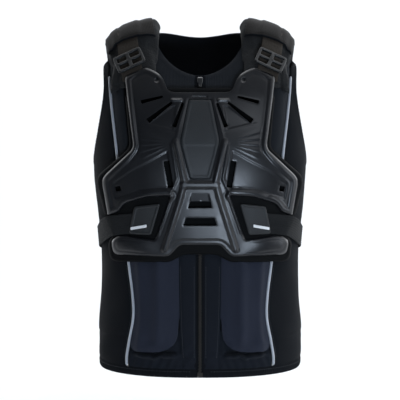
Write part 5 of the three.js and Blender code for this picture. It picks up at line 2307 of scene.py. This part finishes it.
@dataclass
class Studio:
    """Pale floor and soft light: dim in front, as black shows best, and bright behind.

    Attributes:
        book: Materials by their finish.
    """

    book: FinishBook

    # Floor in metres: its half width, its height, and its two strips from front to back
    FLOOR_HALF = 45.0
    FLOOR_Z = -0.6
    FLOOR_STRIPS = {"floor": (-0.45, 45.0), "floor_front": (-45.0, -0.45)}
    # World: its light at the front and the back, along a leaning way, and what the camera sees of it
    FRONT_LIGHT = 0.09
    BACK_LIGHT = 3.0
    LEAN = (0.24, 1, 0.08)
    LEAN_SPAN = (-0.2, 0.7)
    BACKDROP = 0.85
    SKY = "#f4f7fb"
    AIM = Vector((0, 0, -0.25))
    LAMPS = (
        Lamp("key", (2.2, -1.5, 0.45), 0.5, 0.9, 7.0, "#f0f6ff"),
        Lamp("side", (2.0, -1.0, -0.45), 0.6, 0.6, 6.5, "#eaf3ff"),
        Lamp("low", (0.22, -1.45, -0.52), 0.2, 0.34, 10.5, "#dcecff"),
        Lamp("upper", (0.6, -1.4, 0.85), 0.8, 0.8, 3.4, "#eef5ff"),
    )

    def build(self) -> None:
        """Make the world, the floor and the lights."""
        bpy.context.scene.view_settings.view_transform = "Standard"
        self._world()
        self._floor()
        for lamp in self.LAMPS:
            lamp.hang(self.AIM)

    def _world(self) -> None:
        """Make the world: it lights from the back and the top, and looks plain and pale all round."""
        world = bpy.data.worlds.new("studio")
        bpy.context.scene.world = world
        world.use_nodes = True
        tree = world.node_tree
        tree.nodes.clear()
        way = add_node(tree, "TexCoord").outputs["Generated"]
        lean = add_node(tree, "VectorMath", {"operation": "DOT_PRODUCT", 1: self.LEAN}, Vector=way)
        low, high = self.LEAN_SPAN
        settings = {"From Min": low, "From Max": high, "To Min": self.FRONT_LIGHT, "To Max": self.BACK_LIGHT}
        glow = add_node(tree, "MapRange", settings, Value=lean.outputs["Value"])
        colour = linear(self.SKY)
        sky = add_node(tree, "Background", {"Color": colour}, Strength=glow.outputs["Result"])
        backdrop = add_node(tree, "Background", {"Color": colour, "Strength": self.BACKDROP})
        both = add_node(tree, "MixShader", Fac=add_node(tree, "LightPath").outputs["Is Camera Ray"])
        tree.links.new(sky.outputs["Background"], both.inputs[1])
        tree.links.new(backdrop.outputs["Background"], both.inputs[2])
        add_node(tree, "OutputWorld", Surface=both.outputs["Shader"])

    def _floor(self) -> None:
        """Make the floor, whose front part throws no light back up at the vest."""
        for name, (front, back) in self.FLOOR_STRIPS.items():
            bm = bmesh.new()
            bmesh.ops.create_grid(bm, x_segments=1, y_segments=1, size=0.5)
            bmesh.ops.scale(bm, vec=(2 * self.FLOOR_HALF, back - front, 1), verts=bm.verts)
            bmesh.ops.translate(bm, vec=(0, (back + front) / 2, self.FLOOR_Z), verts=bm.verts)
            piece = add_object(name, to_mesh(name, bm, scale=1.0))
            piece.data.materials.append(self.book.material(FLOOR_PAINT))
            piece.visible_diffuse = piece.visible_glossy = name == "floor"


@dataclass(frozen=True)
class PhotoView:
    """The photograph's view, framed closer round the vest.

    Attributes:
        mm_per_pixel: Real size of one of its pixels at the vest.
        centre_px: Pixel that stands for x = 0, z = 0.
        frame_px: Left, top and side of the square of pixels that the render shows.
        elevation: Angle of the camera over the horizon in degrees.
        distance: Distance of the camera in metres.
        plane: Depth of the plane where the pixels have their size, in front of the middle, in metres.
    """

    mm_per_pixel: float = 3.1
    centre_px: tuple[float, float] = (200.0, 110.0)
    frame_px: tuple[float, float, float] = (95.0, 86.0, 210.0)
    elevation: float = 4.3
    distance: float = 7.0
    plane: float = 0.06

    def camera(self) -> None:
        """Make the camera and give it to the scene."""
        left, top, side = self.frame_px
        pixel = self.mm_per_pixel * MM
        data = bpy.data.cameras.new("photo_view")
        data.lens = data.sensor_width * (self.distance - self.plane) / (side * pixel)
        camera = add_object("photo_view", data)
        tilt = math.radians(self.elevation)
        x = (left + side / 2 - self.centre_px[0]) * pixel
        z = (self.centre_px[1] - top - side / 2) * pixel / math.cos(tilt)
        camera.location = (x, -self.distance * math.cos(tilt), z + self.distance * math.sin(tilt))
        camera.rotation_euler = (math.pi / 2 - tilt, 0, 0)
        bpy.context.scene.camera = camera


def main() -> None:
    """Build the vest on its frame."""
    logging.basicConfig(level=logging.INFO, format="%(name)s: %(message)s")
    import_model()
    PhotoView().camera()
    book = FinishBook()
    Studio(book).build()
    make, torso = Maker(book), Torso()
    guard = ChestGuard(make, torso)
    body = SoftBody(make, torso)
    for assembly in (
        ShoulderHarness(make, torso, guard),
        body,
        FrontZip(make, torso),
        guard,
        SideFastening(make, torso, guard),
        Stitching(make, torso, body),
    ):
        assembly.build()


if __name__ == "__main__":
    main()
